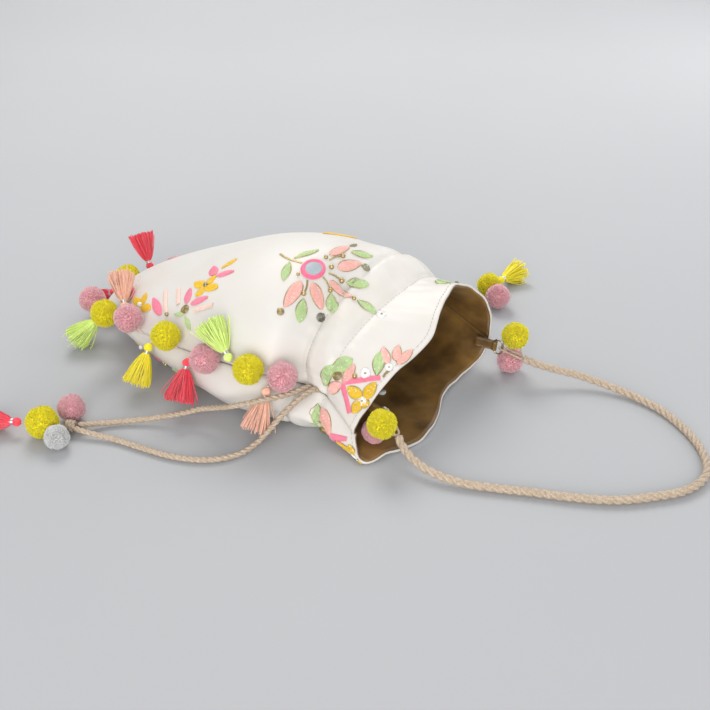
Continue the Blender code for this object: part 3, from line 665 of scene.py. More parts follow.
def pompom_group() -> Repeat:
    """Returns the group that grows cut wool all over a ball."""
    group = Repeat("Pompom")
    ball = group.start.outputs["Geometry"]
    count = group.value("Density", "Float", 900000.0)
    length = group.value("Length", "Float", 0.0024)
    seed = group.value("Seed", "Int", 1)
    roots = group.node("GeometryNodeDistributePointsOnFaces", Mesh=ball, Density=count, Seed=seed)
    yarn = group.node("GeometryNodeMeshCone", fill_type_="NONE", Vertices=3, SideSegments=1,
                      RadiusTop=0.00016, RadiusBottom=0.00034, Depth=length)
    low, high = (-0.5, -0.5, 0.0), (0.5, 0.5, 6.28)
    tilt = group.node("FunctionNodeRandomValue", data_type_="FLOAT_VECTOR", Seed=seed)
    tilt.inputs[0].default_value, tilt.inputs[1].default_value = low, high
    euler = group.node("FunctionNodeEulerToRotation", Euler=tilt.outputs[0])
    turned = group.node("FunctionNodeRotateRotation", rotation_space_="LOCAL",
                        Rotation=roots.outputs["Rotation"], RotateBy=euler.outputs[0])
    size = group.node("FunctionNodeRandomValue", data_type_="FLOAT", Seed=seed)
    size.inputs[2].default_value, size.inputs[3].default_value = 0.65, 1.12
    wool_all = group.node("GeometryNodeInstanceOnPoints", Points=roots.outputs["Points"],
                          Instance=yarn.outputs[0], Rotation=turned.outputs[0], Scale=size.outputs[1])
    both = group.node("GeometryNodeJoinGeometry")
    group.tree.links.new(wool_all.outputs[0], both.inputs[0])
    group.tree.links.new(ball, both.inputs[0])
    return group.finish(both.outputs[0])


# ---------------------------------------------------------------- pieces of the bag

@dataclass
class Workshop:
    """What every maker needs: the bag's form and the repeats."""

    form: BagForm
    threads: Repeat
    beads: Repeat
    sequins: Repeat
    wool: Repeat

    def thread(self, name: str, lines: list, radius: float, finish: Finish, sides: int = 4) -> bpy.types.Object:
        """Makes many threads as one piece.

        Args:
            name: the piece's name.
            lines: polylines in pattern millimetres.
            radius: a thread's radius, in millimetres.
            finish: its finish.
            sides: the number of sides of each thread.

        Returns:
            The piece, as a plain mesh.
        """
        edges, start = [], 0
        for line in lines:
            edges += [(start + k, start + k + 1) for k in range(len(line) - 1)]
            start += len(line)
        item = make_mesh(name, np.concatenate(lines), edges)
        return self.threads.run(item, Radius=radius * MM, Sides=sides, Material=finish.material())

    def studs(self, group: Repeat, name: str, places: list, finish: Finish) -> bpy.types.Object:
        """Sets beads or sequins.

        Args:
            group: the repeat that makes one kind of stud.
            name: the piece's name.
            places: (point, outward direction, radius) of each, in pattern millimetres.
            finish: their finish.

        Returns:
            The piece, as a plain mesh.
        """
        places = [((p[0], p[1], max(p[2], radius)), out, radius) for p, out, radius in places]
        item = make_mesh(name, np.array([p for p, _, _ in places]), [])
        turns = [tuple(Vector(out).to_track_quat("Z", "Y").to_euler()) for _, out, _ in places]
        item.data.attributes.new("turn", "FLOAT_VECTOR", "POINT")
        item.data.attributes.new("size", "FLOAT", "POINT")
        item.data.attributes["turn"].data.foreach_set("vector", np.array(turns, np.float32).ravel())
        item.data.attributes["size"].data.foreach_set("value", [radius * MM for _, _, radius in places])
        return group.run(item, Material=finish.material())


def settle(item: bpy.types.Object, finish: Finish | None, body: Body, slot: str, *nodes: str) -> bpy.types.Object:
    """Finishes a piece and ties it to the frame.

    Args:
        item: the piece.
        finish: what it is finished in, or nothing where it has its materials already.
        body: the body it rides on.
        slot: the record's material slot; not used.
        nodes: the frame's nodes that it stands for.

    Returns:
        The piece.
    """
    if finish:
        item.data.materials.clear()
        item.data.materials.append(finish.material())
    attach(item, body.value)
    if nodes:
        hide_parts(*nodes)
    return item


@dataclass
class Panel:
    """Half the bag's wall in one cloth: a closed sheet from seam to seam and from bottom to mouth.

    Attributes:
        first: the column at which it starts.
        depth: of its outer face under the bag's outside, in millimetres.
        thickness: of the cloth, in millimetres.
    """

    shop: Workshop
    name: str
    first: int
    depth: float
    thickness: float
    finish: Finish
    rows: int
    columns: int
    lifted: bool = False

    def _layer(self, depth: float) -> Points:
        """Returns one face of the cloth as a grid of points."""
        end = 9.985 if self.lifted else 10.0
        start = 0.25 if self.lifted else 0.0
        station = np.linspace(start, end, self.rows)
        inset = 0.0 if self.lifted else 0.02
        column = np.linspace(self.first + inset, self.first + BagForm.HALF - inset, self.columns)
        grid = np.meshgrid(station, column, indexing="ij")
        extra = np.zeros_like(grid[0])
        if self.lifted:
            extra = 4.2 * np.exp(-((grid[0] - 8.5) / 0.42) ** 4) + self._folds(*grid)
        points = self.shop.form.cloth(*grid, 0.0)
        out = self.shop.form.normal(*grid)
        to_seam = np.minimum(grid[1] - self.first, self.first + BagForm.HALF - grid[1])
        room = np.clip(to_seam / 0.9, 0.0, 1.0)
        bottom = np.clip(grid[0] / 1.2, 0.25, 1.0)
        return points - out * ((depth + extra * room) * bottom)[..., None]

    def _folds(self, station: Points, column: Points) -> Points:
        """Returns how far the loose lining folds inwards, in millimetres."""
        wander = column + 0.5 * np.sin(2.2 * station + 0.4 * column)
        fold = 0.5 + 0.5 * np.sin(2.5 * wander + 0.8 * np.sin(0.7 * wander))
        fine = 0.5 + 0.5 * np.sin(4.1 * wander + 1.2 * station)
        near_neck = np.exp(-np.abs(station - 8.7) / 0.9)
        at_mouth = np.clip((9.97 - station) / 0.5, 0, 1)
        return (3.4 * fold ** 2 + 0.9 * fine) * near_neck * at_mouth

    def build(self) -> bpy.types.Object:
        """Returns the panel as a mesh with a pattern UV in millimetres."""
        outer, inner = self._layer(self.depth), self._layer(self.depth + self.thickness)
        count = self.rows * self.columns
        faces = grid_faces(self.rows, self.columns, 0, True) + grid_faces(self.rows, self.columns, count)
        rim = list(range(self.columns))
        rim += [row * self.columns + self.columns - 1 for row in range(1, self.rows)]
        rim += [(self.rows - 1) * self.columns + column for column in range(self.columns - 2, -1, -1)]
        rim += [row * self.columns for row in range(self.rows - 2, 0, -1)]
        faces += [(a, b, b + count, a + count) for a, b in zip(rim, rim[1:] + rim[:1])]
        points = np.concatenate((outer.reshape(-1, 3), inner.reshape(-1, 3)))
        u, v = np.meshgrid(np.linspace(0, 25, self.rows), np.linspace(0, 18, self.columns), indexing="ij")
        uvs = np.stack((u.ravel(), v.ravel()), axis=1)
        return make_mesh(self.name, points, faces, np.concatenate((uvs, uvs)))


@dataclass
class Shell:
    """The bag's cloth: two silk panels and their velvet lining, with the stitching that shows."""

    shop: Workshop
    flat: tuple[float, float] = (0.200, 0.262)
    cut_area: float = 0.0455
    silk: float = 1.3
    lining: float = 0.8
    lining_depth: float = 1.6
    front_grid: tuple[int, int] = (190, 121)
    back_grid: tuple[int, int] = (150, 91)
    lining_grid: tuple[int, int] = (120, 61)

    def build(self) -> tuple[bpy.types.Object, bpy.types.Object]:
        """Makes the shell and returns its two silk panels."""
        half, deep, lining = BagForm.HALF, self.lining_depth, self.lining
        front = self._panel("silk_front", "front_panel", 0, 0.0, self.silk, Finishes.SATIN, *self.front_grid)
        back = self._panel("silk_back", "back_panel", half, 0.0, self.silk, Finishes.SATIN, *self.back_grid)
        for name, node, first in (("velvet_front", "lining_front", 0), ("velvet_back", "lining_back", half)):
            self._panel(name, node, first, deep, lining, Finishes.VELVET, *self.lining_grid, True)
        self._stitching()
        return front, back

    def _panel(self, name: str, node: str, first: int, depth: float, thickness: float, finish: Finish,
               rows: int, columns: int, lifted: bool = False) -> bpy.types.Object:
        item = Panel(self.shop, name, first, depth, thickness, finish, rows, columns, lifted).build()
        slot = "gold_velvet" if lifted else "ivory_satin"
        settle(item, finish, Body.BAG, slot, node)
        log.info("%s: %d faces", name, len(item.data.polygons))
        return item

    def _stitching(self) -> None:
        """Sews the casing's two lines and the topstitch round the mouth."""
        lines = []
        for station, length in ((8.0, 0.19), (9.0, 0.19), (9.86, 0.17)):
            column = 0.3
            while column < 31.7:
                if abs(column - 16) > 0.3:
                    run = np.linspace(column, column + length, 3)
                    lift = np.array((-0.15, 0.28, -0.15))
                    place = self.shop.form.cloth(np.full(3, station), run)
                    lines.append(place + self.shop.form.normal(np.full(3, station), run) * lift[:, None])
                column += length * 1.42
        item = self.shop.thread("stitching", lines, 0.24, Finishes.STITCH)
        settle(item, None, Body.BAG, "ivory_satin")


@dataclass
class Rope:
    """A cord laid from three plies.

    Attributes:
        name: the piece's name.
        route: given points of its line.
        diameter: in millimetres.
    """

    name: str
    route: tuple
    diameter: float
    finish: Finish = Finishes.CORD
    lay: float = 3.1

    def outline(self) -> Points:
        """Returns the section of three plies side by side."""
        sides = 24 if self.diameter > 4 else 18
        angle = 2 * np.pi * np.arange(sides) / sides
        third = 2 * np.pi / 3
        away = (angle + third / 2) % third - third / 2
        reach, ply = 0.46, 0.54
        radius = reach * np.cos(away) + np.sqrt(ply ** 2 - (reach * np.sin(away)) ** 2)
        radius *= self.diameter / 2
        return np.stack((radius * np.cos(angle), radius * np.sin(angle)), axis=1)

    def build(self) -> tuple[bpy.types.Object, Points]:
        """Returns the rope and its centreline in pattern millimetres."""
        path = even_route(self.route, 0.09 * self.diameter + 0.06)
        step = np.linalg.norm(path[1] - path[0])
        turns = np.arange(len(path)) * step * 2 * np.pi / (self.lay * self.diameter)
        return sweep(self.name, path, self.outline(), turns), path


@dataclass
class Tassel:
    """A silk tassel: a knotted head, a wrapped neck and a skirt of threads.

    Attributes:
        head: the top of its head, in pattern millimetres.
        hang: the direction in which it hangs.
    """

    shop: Workshop
    name: str
    head: Points
    hang: Points
    colour: str
    seed: int
    length: float = 27.0
    neck: float = 1.5
    spread: float = 9.4
    skirt_top: float = 6.0
    strands: int = 330

    def axes(self) -> tuple[Points, Points, Points]:
        """Returns the tassel's down, side and front directions."""
        down = unit(np.array(self.hang, float))
        side = unit(np.cross(down, (0.31, 0.2, 0.93)))
        return down, side, np.cross(down, side)

    def _place(self, drop: Points, x: Points, y: Points) -> Points:
        """Returns points at a drop below the head and off the tassel's axis."""
        down, side, front = self.axes()
        drop, x, y = np.broadcast_arrays(drop, x, y)
        return self.head + drop[..., None] * down + x[..., None] * side + y[..., None] * front

    def _skirt(self) -> list:
        """Returns the threads of the skirt."""
        luck = np.random.default_rng(self.seed)
        lines = []
        drops = np.linspace(0, 1, 7)
        for _ in range(self.strands):
            angle, share = luck.uniform(0, 2 * np.pi), math.sqrt(luck.uniform(0, 1))
            length = (self.length - self.skirt_top) * luck.uniform(0.86, 1.03)
            stray = 1.45 if luck.uniform() < 0.04 else 1.0
            open_up = self.neck + (self.spread * stray - self.neck) * drops ** 0.7
            wave = 0.35 * np.sin(drops * luck.uniform(2, 6) + luck.uniform(0, 6)) * drops
            turn = angle + luck.normal(0, 0.12) * drops
            x, y = share * open_up * np.cos(turn) + wave, share * open_up * np.sin(turn) - wave
            line = self._place(self.skirt_top + drops * length, x, y)
            line[:, 2] = np.maximum(line[:, 2], ABOVE_TABLE)
            lines.append(line)
        return lines

    def _head(self) -> list:
        """Returns the threads folded over the head and caught at the neck."""
        lines = []
        t = np.linspace(0, 1, 7)
        for k in range(26):
            angle = 2 * np.pi * k / 26
            radius = 0.25 + 2.3 * np.sin(np.pi * np.clip(t * 0.86 + 0.06, 0, 1))
            lines.append(self._place(0.2 + 5.0 * t, radius * math.cos(angle), radius * math.sin(angle)))
        return lines

    def _coil(self, start: float, end: float, radius: float, turns: int) -> Points:
        """Returns a thread wound round the neck."""
        t = np.linspace(0, 1, 14 * turns)
        angle = 2 * np.pi * turns * t
        return self._place(start + (end - start) * t, radius * np.cos(angle), radius * np.sin(angle))

    def build(self, node: str) -> list[bpy.types.Object]:
        """Makes the tassel in place of a frame node and returns its pieces."""
        finish = Finishes.TASSEL[self.colour]
        threads = self.shop.thread(self.name, self._skirt(), 0.3, finish, 3)
        settle(threads, None, Body.BAG, self.colour, node)
        head = self.shop.thread(self.name + "_head", self._head(), 0.42, finish)
        settle(head, None, Body.BAG, self.colour)
        wrap = self.shop.thread(self.name + "_wrap", [self._coil(4.6, 7.4, 1.75, 6)], 0.34, Finishes.SILVER, 6)
        settle(wrap, None, Body.BAG, "antique_brass")
        return [threads, head, wrap]


@dataclass
class Pompom:
    """A ball of cut wool in the place of a frame node."""

    shop: Workshop
    node: str
    colour: str
    seed: int
    pile: float = 1.5
    fibres: int = 2300

    def build(self, body: Body) -> bpy.types.Object:
        """Returns the pompom."""
        low, high = (np.array(corner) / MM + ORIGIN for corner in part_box(self.node))
        middle, radius = (low + high) / 2, float((high - low)[2]) / 2
        luck = np.random.default_rng(self.seed)
        rows, columns = 15, 25
        polar = np.linspace(0.0, np.pi, rows)
        round_ = np.linspace(0, 2 * np.pi, columns)[:-1]
        points = [middle + (0, 0, radius - self.pile * 0.55)]
        for angle in polar[1:-1]:
            for turn in round_:
                away = np.array((math.sin(angle) * math.cos(turn), math.sin(angle) * math.sin(turn), math.cos(angle)))
                lump = 1 + 0.045 * math.sin(3 * turn + self.seed) * math.sin(2.2 * angle + 0.7 * self.seed)
                reach = (radius - self.pile * 0.55) * lump + luck.uniform(-0.16, 0.16)
                points.append(middle + away * reach)
        points.append(middle - (0, 0, radius - self.pile * 0.55))
        wide = columns - 1
        faces = []
        for k in range(wide):
            after = (k + 1) % wide
            faces.append((0, 1 + k, 1 + after))
            base = 1 + (rows - 3) * wide
            faces.append((base + after, base + k, len(points) - 1))
            for ring in range(rows - 3):
                a = 1 + ring * wide
                faces.append((a + k, a + wide + k, a + wide + after, a + after))
        item = make_mesh("wool_" + self.node, np.array(points), faces)
        density = self.fibres / (4 * math.pi * ((radius - 1.3) * MM) ** 2)
        self.shop.wool.run(item, Density=density, Length=self.pile * MM, Seed=self.seed,
                           Material=Finishes.WOOL[self.colour].material())
        return settle(item, None, body, self.colour, self.node)


@dataclass
class Drawstring:
    """One drawstring: two free strands that end in a knot with its pompoms and tassel.

    Attributes:
        side: near or far.
        upper, lower: the strands' routes.
        knot: where they are tied together.
    """

    shop: Workshop
    side: str
    upper: tuple
    lower: tuple
    knot: tuple[float, float, float]
    tassel_head: tuple[float, float, float]
    tassel_hang: tuple[float, float, float]
    tassel_colour: str
    start_column: int
    lane: float
    diameter: float = 3.7

    def build(self) -> None:
        """Makes the drawstring."""
        pieces = self._knot() + self._tassel()
        for node, colour in TIED_POMPOMS.items():
            if node.startswith("drawstring_" + self.side):
                pieces.append(Pompom(self.shop, node, colour, 40 + len(node) + len(pieces)).build(Body.BAG))
        pieces += self._ties(pieces)
        for strand, route in (("upper", self.upper), ("lower", self.lower)):
            node = f"drawstring_{self.side}_{strand}"
            item, path = Rope("cord_" + node, route, self.diameter).build()
            settle(item, Finishes.CORD, Body.BAG, "beige_cord", node)
        self._casing()
        log.info("drawstring %s: %d pieces", self.side, len(pieces) + 3)

    def _casing(self) -> None:
        """Lays the part of the cord that runs inside the casing."""
        column = (self.start_column + np.arange(1.0, 31.01, 0.25)) % 32
        station = np.full_like(column, 8.5 + self.lane)
        path = self.shop.form.base(station, column) - self.shop.form.normal(station, column) * 3.9
        item, _ = Rope(f"cord_{self.side}_casing", tuple(map(tuple, path)), self.diameter - 0.3).build()
        settle(item, Finishes.CORD, Body.BAG, "beige_cord", f"drawstring_{self.side}_casing")

    def _knot(self) -> list[bpy.types.Object]:
        """Ties the strands' ends in a wound knot."""
        t = np.linspace(0, 1, 90)
        angle = 2 * np.pi * 3 * t
        axis = unit(np.array(self.tassel_hang, float) * (1, 1, 0))
        side, up = np.array((-axis[1], axis[0], 0.0)), np.array((0.0, 0.0, 1.0))
        bulge = 2.2 + 0.5 * np.sin(np.pi * t)
        path = np.array(self.knot) + np.outer((t - 0.5) * 5.4, axis)
        path += np.outer(bulge * np.cos(angle), side) + np.outer(bulge * np.sin(angle), up)
        item, _ = Rope(f"cord_{self.side}_knot", tuple(map(tuple, path[::4])), 2.9).build()
        return [settle(item, Finishes.CORD, Body.BAG, "beige_cord", f"drawstring_{self.side}_knot")]

    def _tassel(self) -> list[bpy.types.Object]:
        """Hangs the tassel."""
        node = f"drawstring_{self.side}_tassel"
        maker = Tassel(self.shop, "silk_" + node, np.array(self.tassel_head), np.array(self.tassel_hang),
                       self.tassel_colour, 71)
        return maker.build(node)

    def _ties(self, pieces: list) -> list[bpy.types.Object]:
        """Joins the knot to what hangs on it with threads."""
        ends = [np.array(self.tassel_head, float)]
        for item in pieces:
            if item.name.startswith("wool_"):
                points = np.array([v.co for v in item.data.vertices])
                ends.append(points.mean(axis=0) / MM + ORIGIN)
        lines = []
        for end in ends:
            t = np.linspace(0, 1, 6)[:, None]
            lines.append(np.array(self.knot) * (1 - t) + end * t - np.sin(np.pi * t) * (0, 0, 0.8))
        item = self.shop.thread(f"ties_{self.side}", lines, 0.45, Finishes.CORD, 5)
        return [settle(item, None, Body.BAG, "beige_cord")]


@dataclass
class Handle:
    """The rope handle with its rings, thread loops, cloth tabs and pompoms."""

    shop: Workshop
    diameter: float = 5.2
    wire: float = 0.75
    ring_deep: float = 2.8
    ring_tall: float = 5.0
    far: tuple = ((91.0, 59.4, 19.5), (1.0, 0.0, -0.08), (77.5, 57.2, 19.5))
    near: tuple = ((70.0, -51.0, 24.0), (0.97, -0.18, -0.15), (58.0, -49.8, 22.5))

    def build(self) -> None:
        """Makes the handle."""
        pieces = []
        ends = (("far", self.far, HANDLE_ROUTE[0]), ("near", self.near, HANDLE_ROUTE[-1]))
        for side, (bar, pull, root), end in ends:
            bar, pull, root = (np.array(v, float) for v in (bar, pull, root))
            self._ring(side, bar, unit(pull))
            pieces.append(self._loop(side, bar, unit(pull), np.array(end, float)))
            self._tab(side, root, bar, unit(pull))
        for k, (node, colour) in enumerate(TIED_POMPOMS.items()):
            if node.startswith("handle"):
                pieces.append(Pompom(self.shop, node, colour, 20 + k).build(Body.HANDLE))
        pieces.append(self._ties(pieces))
        item, path = Rope("cord_handle", HANDLE_ROUTE, self.diameter).build()
        settle(item, Finishes.CORD, Body.HANDLE, "beige_cord", "handle_cord")

    def _closed(self, name: str, loop: Points, radius: float, sides: int) -> bpy.types.Object:
        """Returns a closed round tube through a flat loop of points.

        Args:
            name: the piece's name.
            loop: the centreline, in pattern millimetres.
            radius: of the tube.
            sides: the number of sides of the tube.

        Returns:
            The tube.
        """
        count = len(loop)
        middle = loop.mean(axis=0)
        normal = unit(np.cross(loop[0] - middle, loop[count // 4] - middle))
        tangent = unit(np.roll(loop, -1, axis=0) - np.roll(loop, 1, axis=0))
        out = np.cross(tangent, normal)
        angle = 2 * np.pi * np.arange(sides) / sides
        points = loop[:, None] + radius * (np.cos(angle)[:, None] * out[:, None] + np.sin(angle)[:, None] * normal)
        faces = []
        for i in range(count):
            after = (i + 1) % count
            for k in range(sides):
                b = (k + 1) % sides
                faces.append((i * sides + k, i * sides + b, after * sides + b, after * sides + k))
        item = make_mesh(name, points.reshape(-1, 3), faces)
        return item

    def _ring(self, side: str, bar: Points, pull: Points) -> None:
        """Makes one oval ring of aged brass.

        Args:
            side: near or far.
            bar: the middle of the bar that the tab holds.
            pull: the direction in which the ring is pulled.
        """
        level = unit(np.cross((0.0, 0.0, 1.0), pull))
        up = np.cross(pull, level)
        centre = bar + pull * self.ring_deep
        angle = 2 * np.pi * np.arange(56) / 56
        power = 0.55
        x = np.sign(np.cos(angle)) * np.abs(np.cos(angle)) ** power * self.ring_deep
        y = np.sign(np.sin(angle)) * np.abs(np.sin(angle)) ** power * self.ring_tall
        loop = centre + x[:, None] * pull + y[:, None] * up
        item = self._closed("brass_ring_" + side, loop, self.wire, 12)
        settle(item, Finishes.BRASS, Body.HANDLE, "antique_brass", "ring_" + side)

    def _loop(self, side: str, bar: Points, pull: Points, end: Points) -> bpy.types.Object:
        """Makes the thread loop between a ring and the rope's end."""
        outer = bar + pull * 5.6
        along = unit(end - outer)
        level = unit(np.cross((0.0, 0.0, 1.0), along))
        wide = 1.85
        start, finish = outer - along * wide, end - along * 1.0
        angle = np.linspace(-np.pi / 2, np.pi / 2, 12)
        arc = np.cos(angle)[:, None] * along + np.sin(angle)[:, None] * level
        loop = np.concatenate((finish - along * wide + arc * wide, start + along * wide - arc * wide))
        item = self._closed("thread_loop_" + side, loop, 0.7, 10)
        return settle(item, Finishes.CORD, Body.HANDLE, "beige_cord", "handle_thread_" + side)

    def _ties(self, pieces: list) -> bpy.types.Object:
        """Ties the pompoms to the thread loops."""
        lines = []
        for side, end in (("far", HANDLE_ROUTE[0]), ("near", HANDLE_ROUTE[-1])):
            for item in pieces:
                if item.name.startswith("wool_") and side in item.name:
                    points = np.array([v.co for v in item.data.vertices])
                    middle = points.mean(axis=0) / MM + ORIGIN
                    t = np.linspace(0, 1, 5)[:, None]
                    lines.append(np.array(end, float) * (1 - t) + middle * t)
        item = self.shop.thread("handle_ties", lines, 0.45, Finishes.CORD, 5)
        return settle(item, None, Body.HANDLE, "beige_cord")

    def _tab(self, side: str, root: Points, bar: Points, pull: Points) -> None:
        """Folds the strip of velvet that holds a ring.

        Args:
            side: near or far.
            root: where it is sewn to the lining.
            bar: the middle of the ring's bar.
            pull: the direction in which the ring is pulled.
        """
        level = unit(np.cross((0.0, 0.0, 1.0), pull))
        up = np.cross(pull, level)
        leg = bar - root
        along = unit(leg - up * np.dot(leg, up))
        level = np.cross(up, along)
        reach, inner, cloth = float(np.linalg.norm(leg)), self.wire + 0.25, 0.75
        turn = np.radians(np.linspace(205, 515, 17))
        inside = np.stack((inner * np.cos(turn), inner * np.sin(turn)), axis=1)
        outside = inside * (inner + cloth) / inner
        legs = np.linspace(-reach, -inner - 1.3, 7)
        low_in = np.stack((legs, np.full(7, -0.06)), axis=1)
        low_out = np.stack((legs, -0.06 - cloth - 0.1 * np.sin(legs)), axis=1)
        high_in, high_out = low_in[::-1] * (1, -1), low_out[::-1] * (1, -1)
        inner_line = np.concatenate((low_in, inside, high_in))
        outer_line = np.concatenate((low_out, outside, high_out))
        across = np.linspace(-3.3, 3.3, 5)
        points, count = [], len(inner_line)
        for line in (outer_line, inner_line):
            for h in across:
                points.extend(bar + np.outer(line[:, 0], along) + np.outer(line[:, 1], level) + up * h)
        total = count * len(across)
        faces = grid_faces(len(across), count) + grid_faces(len(across), count, total, True)
        for row in (0, len(across) - 1):
            for k in range(count - 1):
                a = row * count + k
                faces.append((a, a + 1, a + 1 + total, a + total))
        for end in (0, count - 1):
            for row in range(len(across) - 1):
                a = row * count + end
                faces.append((a, a + count, a + count + total, a + total))
        item = make_mesh("velvet_tab_" + side, np.array(points), faces)
        item.data.materials.append(Finishes.VELVET.material())
        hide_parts("ring_tab_" + side)
        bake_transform(item)


@dataclass
class SeamTrim:
    """The pompoms and tassels sewn along the U seam."""

    shop: Workshop

    def build(self) -> None:
        """Makes the trim."""
        for k, colour in enumerate(SEAM_POMPOMS, 1):
            Pompom(self.shop, f"seam_pompom_{k:02d}", colour, k).build(Body.BAG)
        for k, (distance, colour, out_by, up_by, hang) in enumerate(SEAM_TASSELS, 1):
            point, out = self.shop.form.seam_place(distance)
            head = point + out * out_by + np.array((0.0, 0.0, up_by))
            node = f"seam_tassel_{k:02d}"
            Tassel(self.shop, "silk_" + node, head, np.array(hang), colour, 100 + k).build(node)
        self._threads()
        log.info("seam trim: %d pompoms and %d tassels", len(SEAM_POMPOMS), len(SEAM_TASSELS))

    def _threads(self) -> None:
        """Sews each piece of trim to the seam with a short thread."""
        lines = []
        for k in range(1, len(SEAM_POMPOMS) + 1):
            low, high = (np.array(corner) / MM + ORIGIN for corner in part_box(f"seam_pompom_{k:02d}"))
            lines.append(self._to_seam((low + high) / 2))
        for distance, _, out_by, up_by, _ in SEAM_TASSELS:
            point, out = self.shop.form.seam_place(distance)
            lines.append(self._line(point, point + out * out_by + np.array((0.0, 0.0, up_by + 0.6))))
        item = self.shop.thread("trim_threads", lines, 0.5, Finishes.FLOSS["peach"], 5)
        settle(item, None, Body.BAG, "peach")

    def _to_seam(self, middle: Points) -> Points:
        """Returns a line from the nearest place of the seam to a pompom's middle."""
        places = [self.shop.form.seam_place(float(d))[0] for d in range(2, 472, 6)]
        nearest = min(places, key=lambda p: float(np.linalg.norm(p - middle)))
        return self._line(nearest, middle)

    def _line(self, a: Points, b: Points) -> Points:
        """Returns five points from a to b."""
        return a + (b - a) * np.linspace(0, 1, 5)[:, None]


